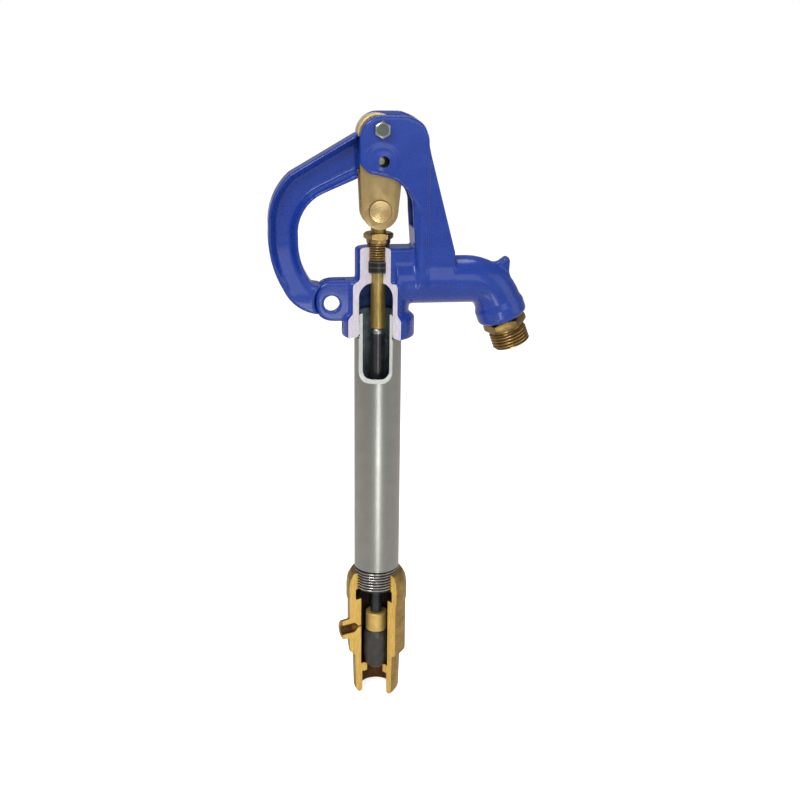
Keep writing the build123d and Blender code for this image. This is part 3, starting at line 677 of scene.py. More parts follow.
# Turned, then satin: light yellow, with a broad highlight
plunger_brass = metal("satin_brass", "#E4C878", "#C09A50", 0.42, 0.8, 0.02, (1, 1, 6), turned=0.6, metallic=0.6)
# The tapped drain, oily: brown; inside the inlet, darker brown; both with little shine
tapped_brass = metal("oily_tapped_brass", "#A87E40", "#6E4C20", 0.36, 0.9, 0.03)
inlet_bore_brass = metal("darker_inlet_bore_brass", "#6A4420", "#3E2612", 0.45, 0.9, 0.05, metallic=0.7)
# Stamped sheet, brushed lengthways: grey yellow, with fine upright streaks
sheet_brass = metal("stamped_brass_sheet_brushed_lengthways", "#B8A074", "#A08A5C", 0.34, 0.35, 0.03, (1, 1, 0.06))
# Hot-dip zinc on drawn pipe: light grey, smooth, with one long highlight
zinc_pipe = metal("galvanised_steel_pipe", "#A2A49E", "#989A94", 0.3, 0.6, 0.008, (1, 1, 0.3))
# Freshly cut steel: bright crests
cut_thread = metal("cut_steel_thread", "#D8D4CE", "#ACA8A2", 0.2, 0.4, 0.02)
# Oil and tarnish in the grooves, and painted shade there: dark lines between the crests; the first also serves as
# painted shade in the socket's lead-in, the assembly hole and round the upper pin
dark_oil_and_shade = dull("oil_and_painted_shade_dark", "#1E1B19", "#121010", 0.5, 0.4, 0.02)
brass_groove_tarnish_and_shade = dull("tarnish_and_painted_shade_in_brass_grooves", "#543A18", "#34230E", 0.5, 0.4, 0.02)
# Zinc plate: cool light grey; the head's end face painted dark and matt, as painted shade
zinc_bolt = metal("zinc_plated_steel", "#B4BAB8", "#949A98", 0.28, 0.5, 0.02)
bolt_end_shade = metal("painted_shade_on_bolt_end", "#757B77", "#5E645F", 0.4, 0.4, 0.03)
washer_steel = metal("oiled_steel_washer", "#70746F", "#50544F", 0.35, 0.5, 0.02)
# Moulded rubber: warm near-black, with a soft sheen; the packing is wet with oil
rubber = dull("moulded_black_rubber", "#3E3B38", "#2C2A27", 0.42, 0.5, 0.03)
packing = dull("nitrile_packing_ring", "#121212", "#0B0B0B", 0.3, 0.5, 0.02)
# Coated bar: smooth black with a narrow highlight
rod_black = dull("black_coated_steel_rod", "#2C2D31", "#1F2023", 0.2, 0.4, 0.006)
# Inner walls in painted shade, as inside the cut: pipe, enamelled head, and valve, whose walls are also oily
bore_dark = dull("shaded_pipe_bore", "#8A9898", "#66747C", 0.45, 0.8, 0.04)
bore_blue = dull("shaded_enamelled_cavity", "#4A66A4", "#34487C", 0.4, 0.8, 0.04)
bore_brown = dull("oily_and_shaded_brass_bore", "#3C3026", "#281F18", 0.4, 0.8, 0.04)

# Floor: pale, lit as paper is, white to the camera, dimmer in reflections, with the object's shadow on it
FLOOR_HALF, FLOOR_Z = 6, -0.0002
ground, tree, spot = open_tree("pale_paper_floor")
ray = add(tree, "LightPath").outputs
away = add(tree, "SeparateXYZ", (spot,)).outputs["Y"]
far_floor = add(tree, "MapRange", (away, -0.5, 0.2, 0.2, 0.4), interpolation_type="SMOOTHSTEP")
in_metal = add(tree, "Math", (ray["Is Glossy Ray"], far_floor), operation="MULTIPLY")
seen = add(tree, "Math", (ray["Is Camera Ray"], 0.78, in_metal), operation="MULTIPLY_ADD")
tone = {"Factor": ray["Is Camera Ray"], 6: linear("#FFEFEA"), 7: linear("#FFFFFF")}
tone = add(tree, "Mix", tone, data_type="RGBA").outputs[2]
glow = add(tree, "Emission", (tone, seen))
fibre = add(tree, "TexNoise", {"Vector": spot, "Scale": per(2.0)})
tint = add(tree, "MapRange", {"Value": fibre, "To Min": 0.78, "To Max": 0.82})
dimmed = add(tree, "Math", (ray["Is Glossy Ray"], -0.35, tint), operation="MULTIPLY_ADD")
add(tree, "OutputMaterial", (add(tree, "AddShader", (glow, add(tree, "BsdfDiffuse", (dimmed,)))),))
floor_mesh = bpy.data.meshes.new("floor")
corners = [(a * FLOOR_HALF, b * FLOOR_HALF, FLOOR_Z) for a, b in ((-1, -1), (1, -1), (1, 1), (-1, 1))]
floor_mesh.from_pydata(corners, [], [(0, 1, 2, 3)])
link_mesh("floor", floor_mesh, ground)


def tube(name, path, radius):
    """Round bar along a line of points in X and Z."""
    points, faces, around = [], [], 48
    for k, (x, z) in enumerate(path):
        run = (Vector(path[min(k + 1, len(path) - 1)]) - Vector(path[max(k - 1, 0)])).normalized()
        for step in range(around):
            a = 2 * pi * step / around
            points.append((x - run.y * radius * cos(a), radius * sin(a), z + run.x * radius * cos(a)))
    last = len(points) - around
    for here, step in product(range(0, last, around), range(around)):
        after = (step + 1) % around
        faces.append((here + step, here + after, here + around + after, here + around + step))
    return make_mesh(name, points, faces + [tuple(range(around)), tuple(range(last, last + around))])


def on_cut(piece, cut):
    """Which faces lie on the two planes of a display cut."""
    middle, normal, _ = faces_of(piece)
    chosen = np.zeros(len(middle), bool)
    for angle in cut:
        across = np.array([cos(radians(angle)), sin(radians(angle)), 0])
        ahead = np.array([*aim(angle), 0])
        chosen |= (abs(middle @ across) < 0.03) & (abs(normal @ across) > 0.995) & (middle @ ahead > 0)
    return chosen


def arc(start, through, end):
    """Eight points on the arc through three points, without the last."""
    steps = 8
    (ax, ay), (bx, by), (cx, cy) = start, through, end
    d = 2 * (ax * (by - cy) + bx * (cy - ay) + cx * (ay - by))
    ux = ((ax * ax + ay * ay) * (by - cy) + (bx * bx + by * by) * (cy - ay) + (cx * cx + cy * cy) * (ay - by)) / d
    uy = ((ax * ax + ay * ay) * (cx - bx) + (bx * bx + by * by) * (ax - cx) + (cx * cx + cy * cy) * (bx - ax)) / d
    r = hypot(ax - ux, ay - uy)
    first, middle, last = (atan2(y - uy, x - ux) for x, y in (start, through, end))
    sweep = (last - first) % (2 * pi)
    if (middle - first) % (2 * pi) > sweep:
        sweep -= 2 * pi
    return [(ux + r * cos(first + sweep * k / steps), uy + r * sin(first + sweep * k / steps)) for k in range(steps)]


# Head casting
head = Block((-49.0, -27.0, 283.5), (111.5, 27.0, 437.5), 0.9)
x, y, z = head.x, head.y, head.z
deep = abs(y)
r = np.sqrt(x**2 + y**2)
column = soften(
    [(-4, SOCKET_LOW), (SOCKET_R, SOCKET_LOW), (SOCKET_R, SOCKET_TOP), (COLUMN_R, SOCKET_TOP + 3.5),
    (COLUMN_R, SHOULDER), (-4, SHOULDER)],
    [0, 1.2, 2.5, 2.0, 3.0, 0], steps=3,
)
body = inside(column, r, z)
ear_outline = soften(
    [(-14.6, EAR_TOP - 14.0), (-11.8, EAR_TOP - 5.0), (-3.6, EAR_TOP), (16.5, EAR_TOP), (28.2, EAR_TOP - 4.4),
    (32.0, EAR_TOP - 14.5), (31.4, 340.0), (31.4, 322.0), (POST_LEFT, 322.0),
    (POST_LEFT, EAR_FOOT - 22.4), (17.4, EAR_FOOT - 9.1), (9.5, EAR_FOOT - 1.9), (1.0, EAR_FOOT + 0.3),
    (-8.4, EAR_FOOT + 2.1), (-14.6, EAR_FOOT + 8.5)],
    [14, 14, 14, 14, 14, 14, 0, 0, 0, 8, 5, 8, 6, 6, 6], steps=5,
)
gusset_outline = soften([(20.0, PIVOT_Z - 8), (31.4, PIVOT_Z - 8), (51.6, 344.0), (51.6, 322.0), (POST_LEFT, 322.0),
    (22.0, 370.0)], [0, 10, 8, 0, 0, 0], steps=5)
ear_flat = inside(ear_outline, x, z - EAR_LEAN * y)
ears = slab(ear_flat, deep - EAR_OUT, 1.5)
gusset = slab(inside(gusset_outline, x, z), deep - GUSSET_HALF, 1.5)
yoke = melt(ears, gusset, 2.2)
gap_outline = [(-30, 450), (20.5, 450), (20.5, EAR_FOOT - 6.4), (POST_LEFT, EAR_FOOT - 18.4), (POST_LEFT, 361.0),
    (-30, 361.0)]
yoke = hollow(yoke, slab(inside(gap_outline, x, z), deep - EAR_IN, 0.8), 0.9)
swelling = slab(np.hypot(x, z - UPPER_PIN_Z) - 11.0, abs(deep - 14.0) - 2.85, 1.2)
collar = slab(np.hypot(x - ASSEMBLY_X, z - UPPER_PIN_Z) - 5.4, abs(deep - 14.5) - 2.9, 0.8)
yoke = melt(melt(yoke, np.maximum(swelling, ear_flat + 1.5), 1.2), collar, 0.9)
boss = np.hypot(np.minimum(x - BOSS_X, 0), y) - BOSS_HALF
boss = slab(np.maximum(boss, x - 27.5), abs(z - 333.0) - (BOSS_TOP - 333.0), 2.0)
body = melt(body, boss, 1.2)
spout_line = knee_path(4.0, SPOUT_Z, 26.0)
along = (x - MOUTH[0]) * outlet_z.x + (z - MOUTH[1]) * outlet_z.z
across = np.sqrt(np.maximum((x - MOUTH[0]) ** 2 + (z - MOUTH[1]) ** 2 - along**2, 0) + y**2)
spout = np.hypot(off_path(spout_line, x, z), y) - SPOUT_R
tight_bend = np.hypot(off_path(knee_path(4.0, SPOUT_Z, 19.6), x, z), y) - SPOUT_R
spout = np.maximum(np.maximum(spout, tight_bend), np.maximum(along + 2.0, 11.0 - x))
mouth_ring = soften([(-3, -13.5), (SPOUT_R - 0.5, -13.5), (SPOUT_COLLAR_R, -10.5), (SPOUT_COLLAR_R, -2.8),
    (SPOUT_FACE_R, 0), (-3, 0)], [0, 3, 3, 2, 1.2, 0], steps=3)
spout = melt(spout, inside(mouth_ring, across, along), 1.5)
body = melt(melt(body, yoke, 1.8), spout, 2.6)
hook_points = [(-11.5, 4.0), (-9.6, 9.6), (-4.6, 12.2), (-0.2, 15.3), (1.4, 15.3), (2.7, 13.0), (2.0, 1.0),
    (-6.2, -3.5)]
hook = slab(inside([(MOUTH[0] + a, SPOUT_Z + b) for a, b in hook_points], x, z), deep - 4.5, 1.2)
body = melt(body, hook, 3.2)
lug_outline = soften([(LUG_END, LUG_Z - LUG_R), (-14, LUG_Z - LUG_R), (-14, LUG_Z + LUG_R), (LUG_END, LUG_Z + LUG_R)],
    [LUG_CORNER, 0, 0, LUG_CORNER], steps=8)
lug = slab(inside(lug_outline, x, z), deep - LUG_OUT, 2.4)
body = melt(body, lug, 2.5)
fork = np.maximum(np.maximum(x - LUG_ROOT, deep - LUG_GAP), abs(z - LUG_Z) - LUG_R - 6)
body = hollow(body, fork, 0.8)
draft = np.clip((y + LUG_OUT) / (2 * LUG_OUT), 0, 1)
body = hollow(body, np.hypot(x - LUG_X - 0.8 * draft, z - LOCK_Z + 2.0 * draft) - LOCK_R - 1.6 * draft, 1.2)
head_shell = head.skin("head_shell", body, blue)

socket_cut = thread("socket_cut", blue, SOCKET_LOW - 2.0, PIPE_TOP, 0.0, PIPE_R + THREAD_FIT, THREAD_DEEP, PIPE_PITCH,
    CUT_ENDS)
dome = [(0, PIPE_TOP - 1), (CAVITY_R - 0.6, PIPE_TOP - 1), (CAVITY_R - 0.6, PIPE_TOP), (CAVITY_R, PIPE_TOP),
    (CAVITY_R, CAVITY_TOP - 9)]
dome += [(CAVITY_R - 11 + 11 * cos(a), CAVITY_TOP - 9 + 9 * sin(a)) for a in np.linspace(0.15, 1.3, 8)]
dome += [(GUIDE_R, CAVITY_TOP), (GUIDE_R, CHAMBER_LOW), (CHAMBER_R, CHAMBER_LOW), (CHAMBER_R, CHAMBER_TOP),
    (NUT_THREAD_R - 0.5, CHAMBER_TOP), (NUT_THREAD_R - 0.5, CHAMBER_TOP + 1), (0, CHAMBER_TOP + 1)]
nut_cut = thread("nut_cut", blue, CHAMBER_TOP + 0.5, BOSS_TOP + 2, 0.0, NUT_THREAD_R + 0.12, NUT_DEEP, NUT_PITCH,
    CUT_ENDS)
lead_in = lathe("lead_in", [(0, SOCKET_LOW - 2), (PIPE_R + 1.4, SOCKET_LOW - 2), (PIPE_R + 1.4, SOCKET_LOW),
    (PIPE_R - 0.6, SOCKET_LOW + 2.0), (0, SOCKET_LOW + 2.0)])
way = knee_path(10.0, WATERWAY_Z, 14.0)
mouth_hole = place_on(lathe("mouth_hole", [(0, -SHANK_LONG - 1), (SHANK_R, -SHANK_LONG - 1), (SHANK_R, -0.8),
    (SHANK_R + 1.0, 1.0), (SHANK_R + 1.0, 3), (0, 3)]), outlet)
carve(
    head_shell,
    lathe("dome_cut", dome),
    socket_cut,
    lead_in,
    nut_cut,
    tube("way_cut", way[:-1] + [(MOUTH[0] + outlet_z.x * 2, MOUTH[1] + outlet_z.z * 2)], WATERWAY_R),
    mouth_hole,
    drill("bolt_hole", 0, PIVOT_Z, BOLT_R),
    drill("assembly_hole", ASSEMBLY_X, UPPER_PIN_Z, ASSEMBLY_R),
    wedge("head_wedge", HEAD_CUT, SOCKET_LOW - 3, BOSS_TOP + 3),
)
sawn = on_cut(head_shell, HEAD_CUT)
paint(head_shell, sawn, lilac)
middle, normal, from_axis = faces_of(head_shell)
paint(head_shell, ~sawn & (from_axis < CAVITY_R + 0.1) & (middle[:, 2] < CAVITY_TOP + 0.1), bore_blue)
# Painted shadow: the socket's lead-in under the head gets the dark material
paint(head_shell, ~sawn & (from_axis > PIPE_R - 1.2) & (from_axis < PIPE_R + 1.6) & (middle[:, 2] < SOCKET_LOW + 2.1),
    dark_oil_and_shade)
# Painted shade in the wall of the assembly hole
paint(head_shell, (np.hypot(middle[:, 0] - ASSEMBLY_X, middle[:, 2] - UPPER_PIN_Z) < ASSEMBLY_R + 0.05), dark_oil_and_shade)
smooth(head_shell)
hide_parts("head_casting")
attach(head_shell, "frame")

# Lever: D-shaped handle, a rim on each side of a thin web, with a tongue into the hub and one into the lug
grip = Block((-79.0, -13.0, 298.5), (10.0, 13.0, 434.5), 0.75)
x, y, z = grip.x, grip.y, grip.z
deep = abs(y)
ARM_END, ARM_RUN, GRIP_Z, HEEL_X, HEEL_R = -15.2, -4.6, PIVOT_Z - 65.5, -30.3, 14.75


def on_heel(height):
    """Point of the hollow lever end, which follows the round end of the lug."""
    return (HEEL_X - sqrt(HEEL_R**2 - (height - LUG_Z) ** 2), height)


def lever_outline(end, end_low):
    """The lever from the side, its arm ending at x = end."""
    line = [(end, end_low), (end, PIVOT_Z - 2.8), (ARM_END - 0.01, PIVOT_Z - 2.8)]
    line += arc((-60.5, GRIP_Z + 36.5), (-71.4, GRIP_Z + 21.6), (-75.3, GRIP_Z))
    line += arc((-75.3, GRIP_Z), (-73.4, GRIP_Z - 23.5), (-66.0, GRIP_Z - 41.5))
    line += arc((-66.0, GRIP_Z - 41.5), (-57.5, GRIP_Z - 52.5), on_heel(LUG_Z - 8.7))
    line += arc(on_heel(LUG_Z - 8.7), on_heel(LUG_Z), on_heel(LUG_Z + 11.0))
    line += [on_heel(LUG_Z + 11.0)]
    line += arc((-46.2, LUG_Z + 12.0), (-52.6, GRIP_Z - 25.5), (-55.5, GRIP_Z - 6.0))
    line += arc((-55.5, GRIP_Z - 6.0), (-50.5, GRIP_Z + 13.5), (-38.0, GRIP_Z + 23.7))
    return line + [(-38.0, GRIP_Z + 23.7)]


flat = inside(lever_outline(ARM_END, PIVOT_Z - 32.0), x, z)
flat_open = inside(lever_outline(ARM_RUN, PIVOT_Z - 25.7), x, z)
fade = np.clip((352.0 - z) / 42.0, 0, 1)
web = WEB_HALF + fade**2 * (3 - 2 * fade) * (ARM_HALF - WEB_HALF)
slope = np.clip((-flat_open - 0.9) / 4.8, 0, 1)
arm = slab(flat, deep - ARM_HALF + (ARM_HALF - web) * slope**2 * (3 - 2 * slope), 1.8)
tongue = [(ARM_END - 6, PIVOT_Z - 26.5), (8.0, PIVOT_Z - 26.5), (8.0, PIVOT_Z + 5.4), (-5.0, PIVOT_Z + 5.4),
    (ARM_END - 6, PIVOT_Z - 8.0)]
arm = melt(arm, slab(inside(tongue, x, z), deep - TONGUE_HALF, 0.8), 1.0)
lock_left = HEEL_X - HEEL_R - 4
lock = soften([(lock_left, LOCK_Z - 7.0), (LUG_ROOT - 0.6, LOCK_Z - 7.0), (LUG_ROOT - 0.6, LUG_Z + 8.0),
    (lock_left, LUG_Z + 8.0)], [0, 7, 7, 0])
arm = melt(arm, slab(inside(lock, x, z), deep - LOCK_HALF, 0.8), 1.0)
lever = grip.skin("lever", arm, blue)
carve(
    lever,
    drill("pivot_hole", 0, PIVOT_Z, BOLT_R + RUNNING_GAP),
    drill("pin_slot", *LINK_HOLE),
    drill("lock_hole", LUG_X + 0.4, LOCK_Z - 1.1, LOCK_R + 1.0),
)
smooth(lever)
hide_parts("lever_handle")
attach(lever, "lever")

def hull(circles):
    """Outline round several circles, as (x, z, r)."""
    points = []
    for a in np.linspace(0, 2 * pi, 120, endpoint=False):
        x, z, r = max(circles, key=lambda c: c[0] * cos(a) + c[1] * sin(a) + c[2])
        points.append((x + r * cos(a), z + r * sin(a)))
    return points


# Brass hub over the tongue
hub_block = Block((-18.0, -11.5, 396.5), (14.5, 11.5, 436.8), 0.5)
x, y, z = hub_block.x, hub_block.y, hub_block.z
deep = abs(y)
hub_outline = hull([(0, PIVOT_Z - 1.8, HUB_R), (7.0 - HUB_R, PIVOT_Z - 20.6, 7.0), (0.5, PIVOT_Z - 18.6, 9.0)])
flat = inside(hub_outline, x, z)
cheeks = slab(flat, deep - HUB_HALF, 0.9)
crown_flat = np.hypot(x + 1.9, z - PIVOT_Z + 3.3) - 13.3
crown = slab(np.maximum(crown_flat, PIVOT_Z - 4.8 - z), deep - CROWN_HALF, 1.2)
hub = hub_block.skin("hub", melt(cheeks, crown, 1.0), cast_brass)
carve(
    hub,
    prism("hub_tongue_slot", tongue, -TONGUE_HALF, TONGUE_HALF),
    drill("hub_pivot_hole", 0, PIVOT_Z, BOLT_R + RUNNING_GAP),
    drill("hub_pin_hole", *LINK_HOLE),
)
# Painted highlight: the crown's upper rim, not its flat sides, gets the cream brass
middle, normal, _ = faces_of(hub)
paint(hub, (middle[:, 2] > PIVOT_Z - 5) & (abs(middle[:, 1]) > HUB_HALF - 6.0) & (abs(normal[:, 1]) < 0.9),
    crown_highlight_brass)
smooth(hub)
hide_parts("lever_hub")
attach(hub, "lever")


# Link plates and pins
plate_outline = hull([(0, PIN_Z, 12.3), (1.6, PIN_Z + 19, 12.6), (-1.4, UPPER_PIN_Z - 0.6, 12.6)])
for name, low, high in (("link_plate_front", -PLATE_OUT, -PLATE_IN), ("link_plate_back", PLATE_IN, PLATE_OUT)):
    plate = prism(name + "_brass", plate_outline, low, high, sheet_brass)
    carve(plate, drill("hole", 0, PIN_Z, LOWER_PIN_R + 0.2), drill("hole", 0, UPPER_PIN_Z, UPPER_PIN_R + 0.05))
    bevel(plate, 0.45, 3, 50)
    smooth(plate)
    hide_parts(name)
    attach(plate, "link")
upright_axis = Matrix(((1, 0, 0, 0), (0, 0, 1, 0), (0, -1, 0, 0), (0, 0, 0, 1)))


def across_at(piece, height):
    """Lays a piece made about the pipe axis along -Y to Y, at a height."""
    return place_on(piece, Matrix.Translation((0, 0, height * MM)) @ upright_axis)


big_pin = [(0, -PLATE_OUT - 1.6), (LOWER_PIN_R, -PLATE_OUT - 1.6), (LOWER_PIN_R, PLATE_OUT - 0.05), (6.8, PLATE_OUT)]
big_pin += [(6.8, PLATE_OUT + 0.9), (LOWER_PIN_R, PLATE_OUT + 0.95), (LOWER_PIN_R, PLATE_OUT + 1.2),
    (0, PLATE_OUT + 1.2)]
big_pin = soften(big_pin, [0, 0.5, 0, 0, 0, 0, 0.2, 0], steps=3)
pin = across_at(lathe("lower_pin", big_pin, faced_brass), PIN_Z)
smooth(pin)
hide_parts("link_pin_lower")
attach(pin, "link")
PIN_BEVEL = 0.6
small_pin = [(0, -PLATE_OUT), (UPPER_PIN_R - PIN_BEVEL, -PLATE_OUT), (UPPER_PIN_R, -PLATE_OUT + PIN_BEVEL)]
small_pin += [(across, -along) for across, along in reversed(small_pin)]
# Painted shade: a dark ring on the front plate round the upper pin, behind the ear's hole
shade_ring_on_plate = sleeve("shade_ring_on_plate", -PLATE_OUT - 0.1, -PLATE_OUT + 0.05, 2.9, 5.6, dark_oil_and_shade)
# Painted light: the upper pin's end is almost white
pin = across_at(join("upper_pin", lathe("bare_pin", small_pin, lit_pin_end_brass), shade_ring_on_plate), UPPER_PIN_Z)
smooth(pin)
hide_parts("link_pin_upper")
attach(pin, "link")


def hexagon(name, flats, low, high, material, turn=0.0, bore=0.0, both=True, face=0.97):
    """Hexagonal bar about the pipe axis, its corners turned off down to face, at both ends or only the low one."""
    corner, inner = flats / 2 / cos(pi / 6), flats / 2 * face
    outline = [(corner * cos(turn + pi / 3 * k), corner * sin(turn + pi / 3 * k)) for k in range(6)]
    reach = corner + 0.5
    fall = (reach - inner) * tan(radians(30))
    under, over = low - 0.01, high + 0.01
    turned_off = [(0, under), (inner, under), (reach, low + fall)]
    turned_off += [(reach, high - fall), (inner, over), (0, over)] if both else [(reach, high), (reach, over),
        (0, over)]
    bar = prism(name, outline, low, high, material, along="Z")
    carve(bar, lathe("corner_cut", turned_off, material), operation="INTERSECT")
    if bore:
        carve(bar, sleeve("bore", low - THROUGH, high + THROUGH, 0, bore))
    return bar


# Pivot bolt and nut
bolt_end = EAR_OUT + WASHER + NUT + 1.4
bolt_head = hexagon("bolt_head", HEX_BOLT, -EAR_OUT - BOLT_HEAD, -EAR_OUT, zinc_bolt, pi / 2, both=False, face=0.84)
bevel(bolt_head, 0.15)
# Painted shade: the head's end face gets a dark matt zinc
middle, normal, _ = faces_of(bolt_head)
paint(bolt_head, normal[:, 2] < -0.99, bolt_end_shade)
shank = sleeve("shank", -EAR_OUT - 0.5, EAR_OUT - 1, 0, BOLT_R - 0.02, zinc_bolt, around=48)
bolt_thread = thread("bolt_thread", zinc_bolt, EAR_OUT - 1.2, bolt_end, 0.0, BOLT_R, 0.55, 1.0, (0.1, 1.2), around=48)
bolt = across_at(join("bolt", bolt_head, shank, bolt_thread), PIVOT_Z)
smooth(bolt)
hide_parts("pivot_bolt")
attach(bolt, "frame")
nut = hexagon("nut", HEX_BOLT, EAR_OUT + WASHER, EAR_OUT + WASHER + NUT, zinc_bolt, pi / 2, BOLT_R)
nut = across_at(bevel(nut, 0.12), PIVOT_Z)
smooth(nut)
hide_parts("pivot_nut")
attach(nut, "frame")

# Packing nut: thread in the boss, neck, hexagon with its corners turned off
gland_bore, GLAND_R, HEX_GLAND = STEM_R + 0.3, 8.4, 18.2
gland_thread = thread("gland_thread", turned_brass, CHAMBER_TOP, BOSS_TOP + 3.2, gland_bore, NUT_THREAD_R, NUT_DEEP,
    NUT_PITCH)
darken_roots(gland_thread, NUT_THREAD_R, NUT_DEEP, brass_groove_tarnish_and_shade)
neck = [(gland_bore, BOSS_TOP + 2.6), (GLAND_R, BOSS_TOP + 2.6), (GLAND_R, BOSS_TOP + 5.7),
    (gland_bore, BOSS_TOP + 5.7)]
gland_neck = lathe("gland_neck", soften(neck, 0.5), turned_brass)
gland_hex = hexagon("gland_hex", HEX_GLAND, BOSS_TOP + 5.3, BOSS_TOP + 9.9, turned_brass, bore=gland_bore)
bevel(gland_hex, 0.25)
gland = join("gland", gland_thread, gland_neck, gland_hex)
smooth(gland)
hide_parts("packing_nut")
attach(gland, "frame")

# Riser pipe: threads at both ends and the window at the top
run_low, run_high = PIPE_LOW + THREAD_LONG, PIPE_TOP - THREAD_LONG
pipe_thread = (PIPE_BORE, PIPE_CREST, THREAD_DEEP, PIPE_PITCH)
low_thread = thread("low_thread", cut_thread, PIPE_LOW, run_low, *pipe_thread, (1.2, 0.05))
high_thread = thread("high_thread", cut_thread, run_high, PIPE_TOP, *pipe_thread, (0.05, 1.2))
# Oil and painted shade in the thread roots
for piece in (low_thread, high_thread):
    darken_roots(piece, PIPE_CREST, THREAD_DEEP, dark_oil_and_shade, 0.4)
run = [(PIPE_BORE, run_low - 0.3), (PIPE_R - 1.2, run_low - 0.3), (PIPE_R, run_low + 0.6)]
run += [(PIPE_R, run_high - 0.6), (PIPE_R - 1.2, run_high + 0.3), (PIPE_BORE, run_high + 0.3)]
run = lathe("run", run, zinc_pipe, around=128)
facing = Matrix.Rotation(radians(sum(HEAD_CUT) / 2), 4, "Z")


def window_cut():
    """Cutter for the window: radial sides, round lower corners and a sill that slants outwards."""
    turn = radians((HEAD_CUT[1] - HEAD_CUT[0]) / 2)
    half, sill = 15.0 * turn, 1.1
    corner = [(half - 6.8 + 6.8 * sin(a), WINDOW_LOW + 6.8 - 6.8 * cos(a)) for a in np.linspace(0, pi / 2, 9)]
    outline = [(0.5, WINDOW_LOW)] + corner + [(half, PIPE_TOP + 4)]
    points = []
    for radius in (7.0, 26.0):
        for along, height in outline:
            low = max(0.0, 1 - (height - WINDOW_LOW) / 6.8) * sill * (15.0 - radius) / 1.7
            for side in (-1, 1):
                a = side * along / 15.0
                points.append((radius * sin(a), -radius * cos(a), height + low))
    rows = len(outline)
    faces = [(0, 1, 2 * rows + 1, 2 * rows), (2 * rows - 2, 2 * rows - 1, 4 * rows - 1, 4 * rows - 2)]
    for k in range(rows - 1):
        here, there = 2 * k, 2 * rows + 2 * k
        faces += [(here, here + 1, here + 3, here + 2), (there, there + 1, there + 3, there + 2)]
        faces += [(here, here + 2, there + 2, there), (here + 1, here + 3, there + 3, there + 1)]
    return place_on(make_mesh("window_cut", points, faces), facing)


for part in (run, high_thread):
    carve(part, window_cut())
riser = join("riser", run, low_thread, high_thread)
middle, normal, from_axis = faces_of(riser)
bearing = np.degrees(np.arctan2(middle[:, 0], -middle[:, 1]))
inner_wall = from_axis < PIPE_BORE + 0.05
in_wall = ~inner_wall & (from_axis < PIPE_R - 0.02) & (middle[:, 2] > WINDOW_LOW - 2) & (middle[:, 2] < PIPE_TOP - 0.2)
rim = in_wall & (bearing > HEAD_CUT[0] - 0.3) & (bearing < HEAD_CUT[1] + 0.3) | on_cut(riser, HEAD_CUT)
paint(riser, inner_wall, bore_dark)
paint(riser, rim, pale)
smooth(riser)
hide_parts("stand_pipe")
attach(riser, "frame")

# Valve body: eight cast flats, inlet neck, drain boss, cut open
casting = Block((-32.0, -24.5, -1.5), (24.5, 24.5, 103.5), 0.7)
x, y, z = casting.x, casting.y, casting.z
r = np.sqrt(x**2 + y**2)
flats = None
for k in range(4):
    a = radians(45 * k)
    d = abs(x * cos(a) + y * sin(a)) - BODY_FLAT
    flats = d if flats is None else -melt(-flats, -d, 1.2)
COLLAR_LOW = BODY_TOP - 22.0
corner = BODY_FLAT / cos(pi / 8)
turned_skin = soften([(-4, BODY_STEP), (INLET_ROOT + 1.0, BODY_STEP), (corner, BODY_STEP + 3.0),
    (corner, COLLAR_LOW + 3), (-4, COLLAR_LOW + 3)], [0, 1.5, 2, 0, 0], steps=3)
shell = -melt(-flats, -inside(turned_skin, r, z), 0.8)
collar_skin = soften([(-4, COLLAR_LOW), (COLLAR_R, COLLAR_LOW), (COLLAR_R, BODY_TOP - 11),
    (COLLAR_R - 0.8, BODY_TOP - 5), (COLLAR_R - 3.6, BODY_TOP), (-4, BODY_TOP)], [0, 0.8, 2, 3, 1.5, 0], steps=3)
shell = melt(shell, inside(collar_skin, r, z), 0.9)
inlet = inside(soften([(-4, 0), (INLET_R - 2.2, 0), (INLET_R, 3.5), (INLET_ROOT, BODY_STEP + 4), (-4, BODY_STEP + 4)],
    [0, 0.8, 2, 0, 0], steps=3), r, z)
shell = melt(shell, inlet, 1.6)
to_boss, beside = aim(BODY_CUT[0]), aim(BODY_CUT[0] + 90)
boss_out = x * to_boss[0] + y * to_boss[1]
boss_r = np.sqrt((x * beside[0] + y * beside[1]) ** 2 + (z - DRAIN_Z) ** 2)
shell = melt(shell, slab(boss_r - 8.0, abs(boss_out - 21.4) - 7.6, 1.0), 1.6)
valve = casting.skin("valve", shell, cast_brass)
bore = [(0, -2), (INLET_BORE + 0.9, -2), (INLET_BORE + 0.9, 0), (INLET_BORE, 0.9), (INLET_BORE, SEAT_LOW),
    (SEAT_BORE, SEAT_LOW), (SEAT_BORE, SEAT_TOP - 1.4), (10.2, SEAT_TOP), (BODY_BORE, SEAT_TOP)]
bore += [(BODY_BORE, RELIEF_LOW), (RELIEF_R, RELIEF_LOW), (RELIEF_R, RELIEF_TOP), (PIPE_R - 1.2, RELIEF_TOP),
    (PIPE_R - 1.2, BODY_TOP - 1), (0, BODY_TOP - 1)]
top_thread = thread("top_thread", cast_brass, RELIEF_TOP, BODY_TOP + 2, 0.0, PIPE_R + THREAD_FIT, THREAD_DEEP,
    PIPE_PITCH, CUT_ENDS)
drain = lathe("drain", [(0, 10), (0.7, 10), (0.7, 15.4), (3.9, 18.6), (3.9, 19.4), (0, 19.4)])
drain_thread = thread("drain_thread", cast_brass, 19.0, 31.0, 0.0, 4.3, 0.6, 0.94, CUT_ENDS, around=48)
drain_way, upwards = Vector((*to_boss, 0)), Vector((0, 0, 1))
drain_place = Matrix((upwards, drain_way.cross(upwards), drain_way)).transposed().to_4x4()
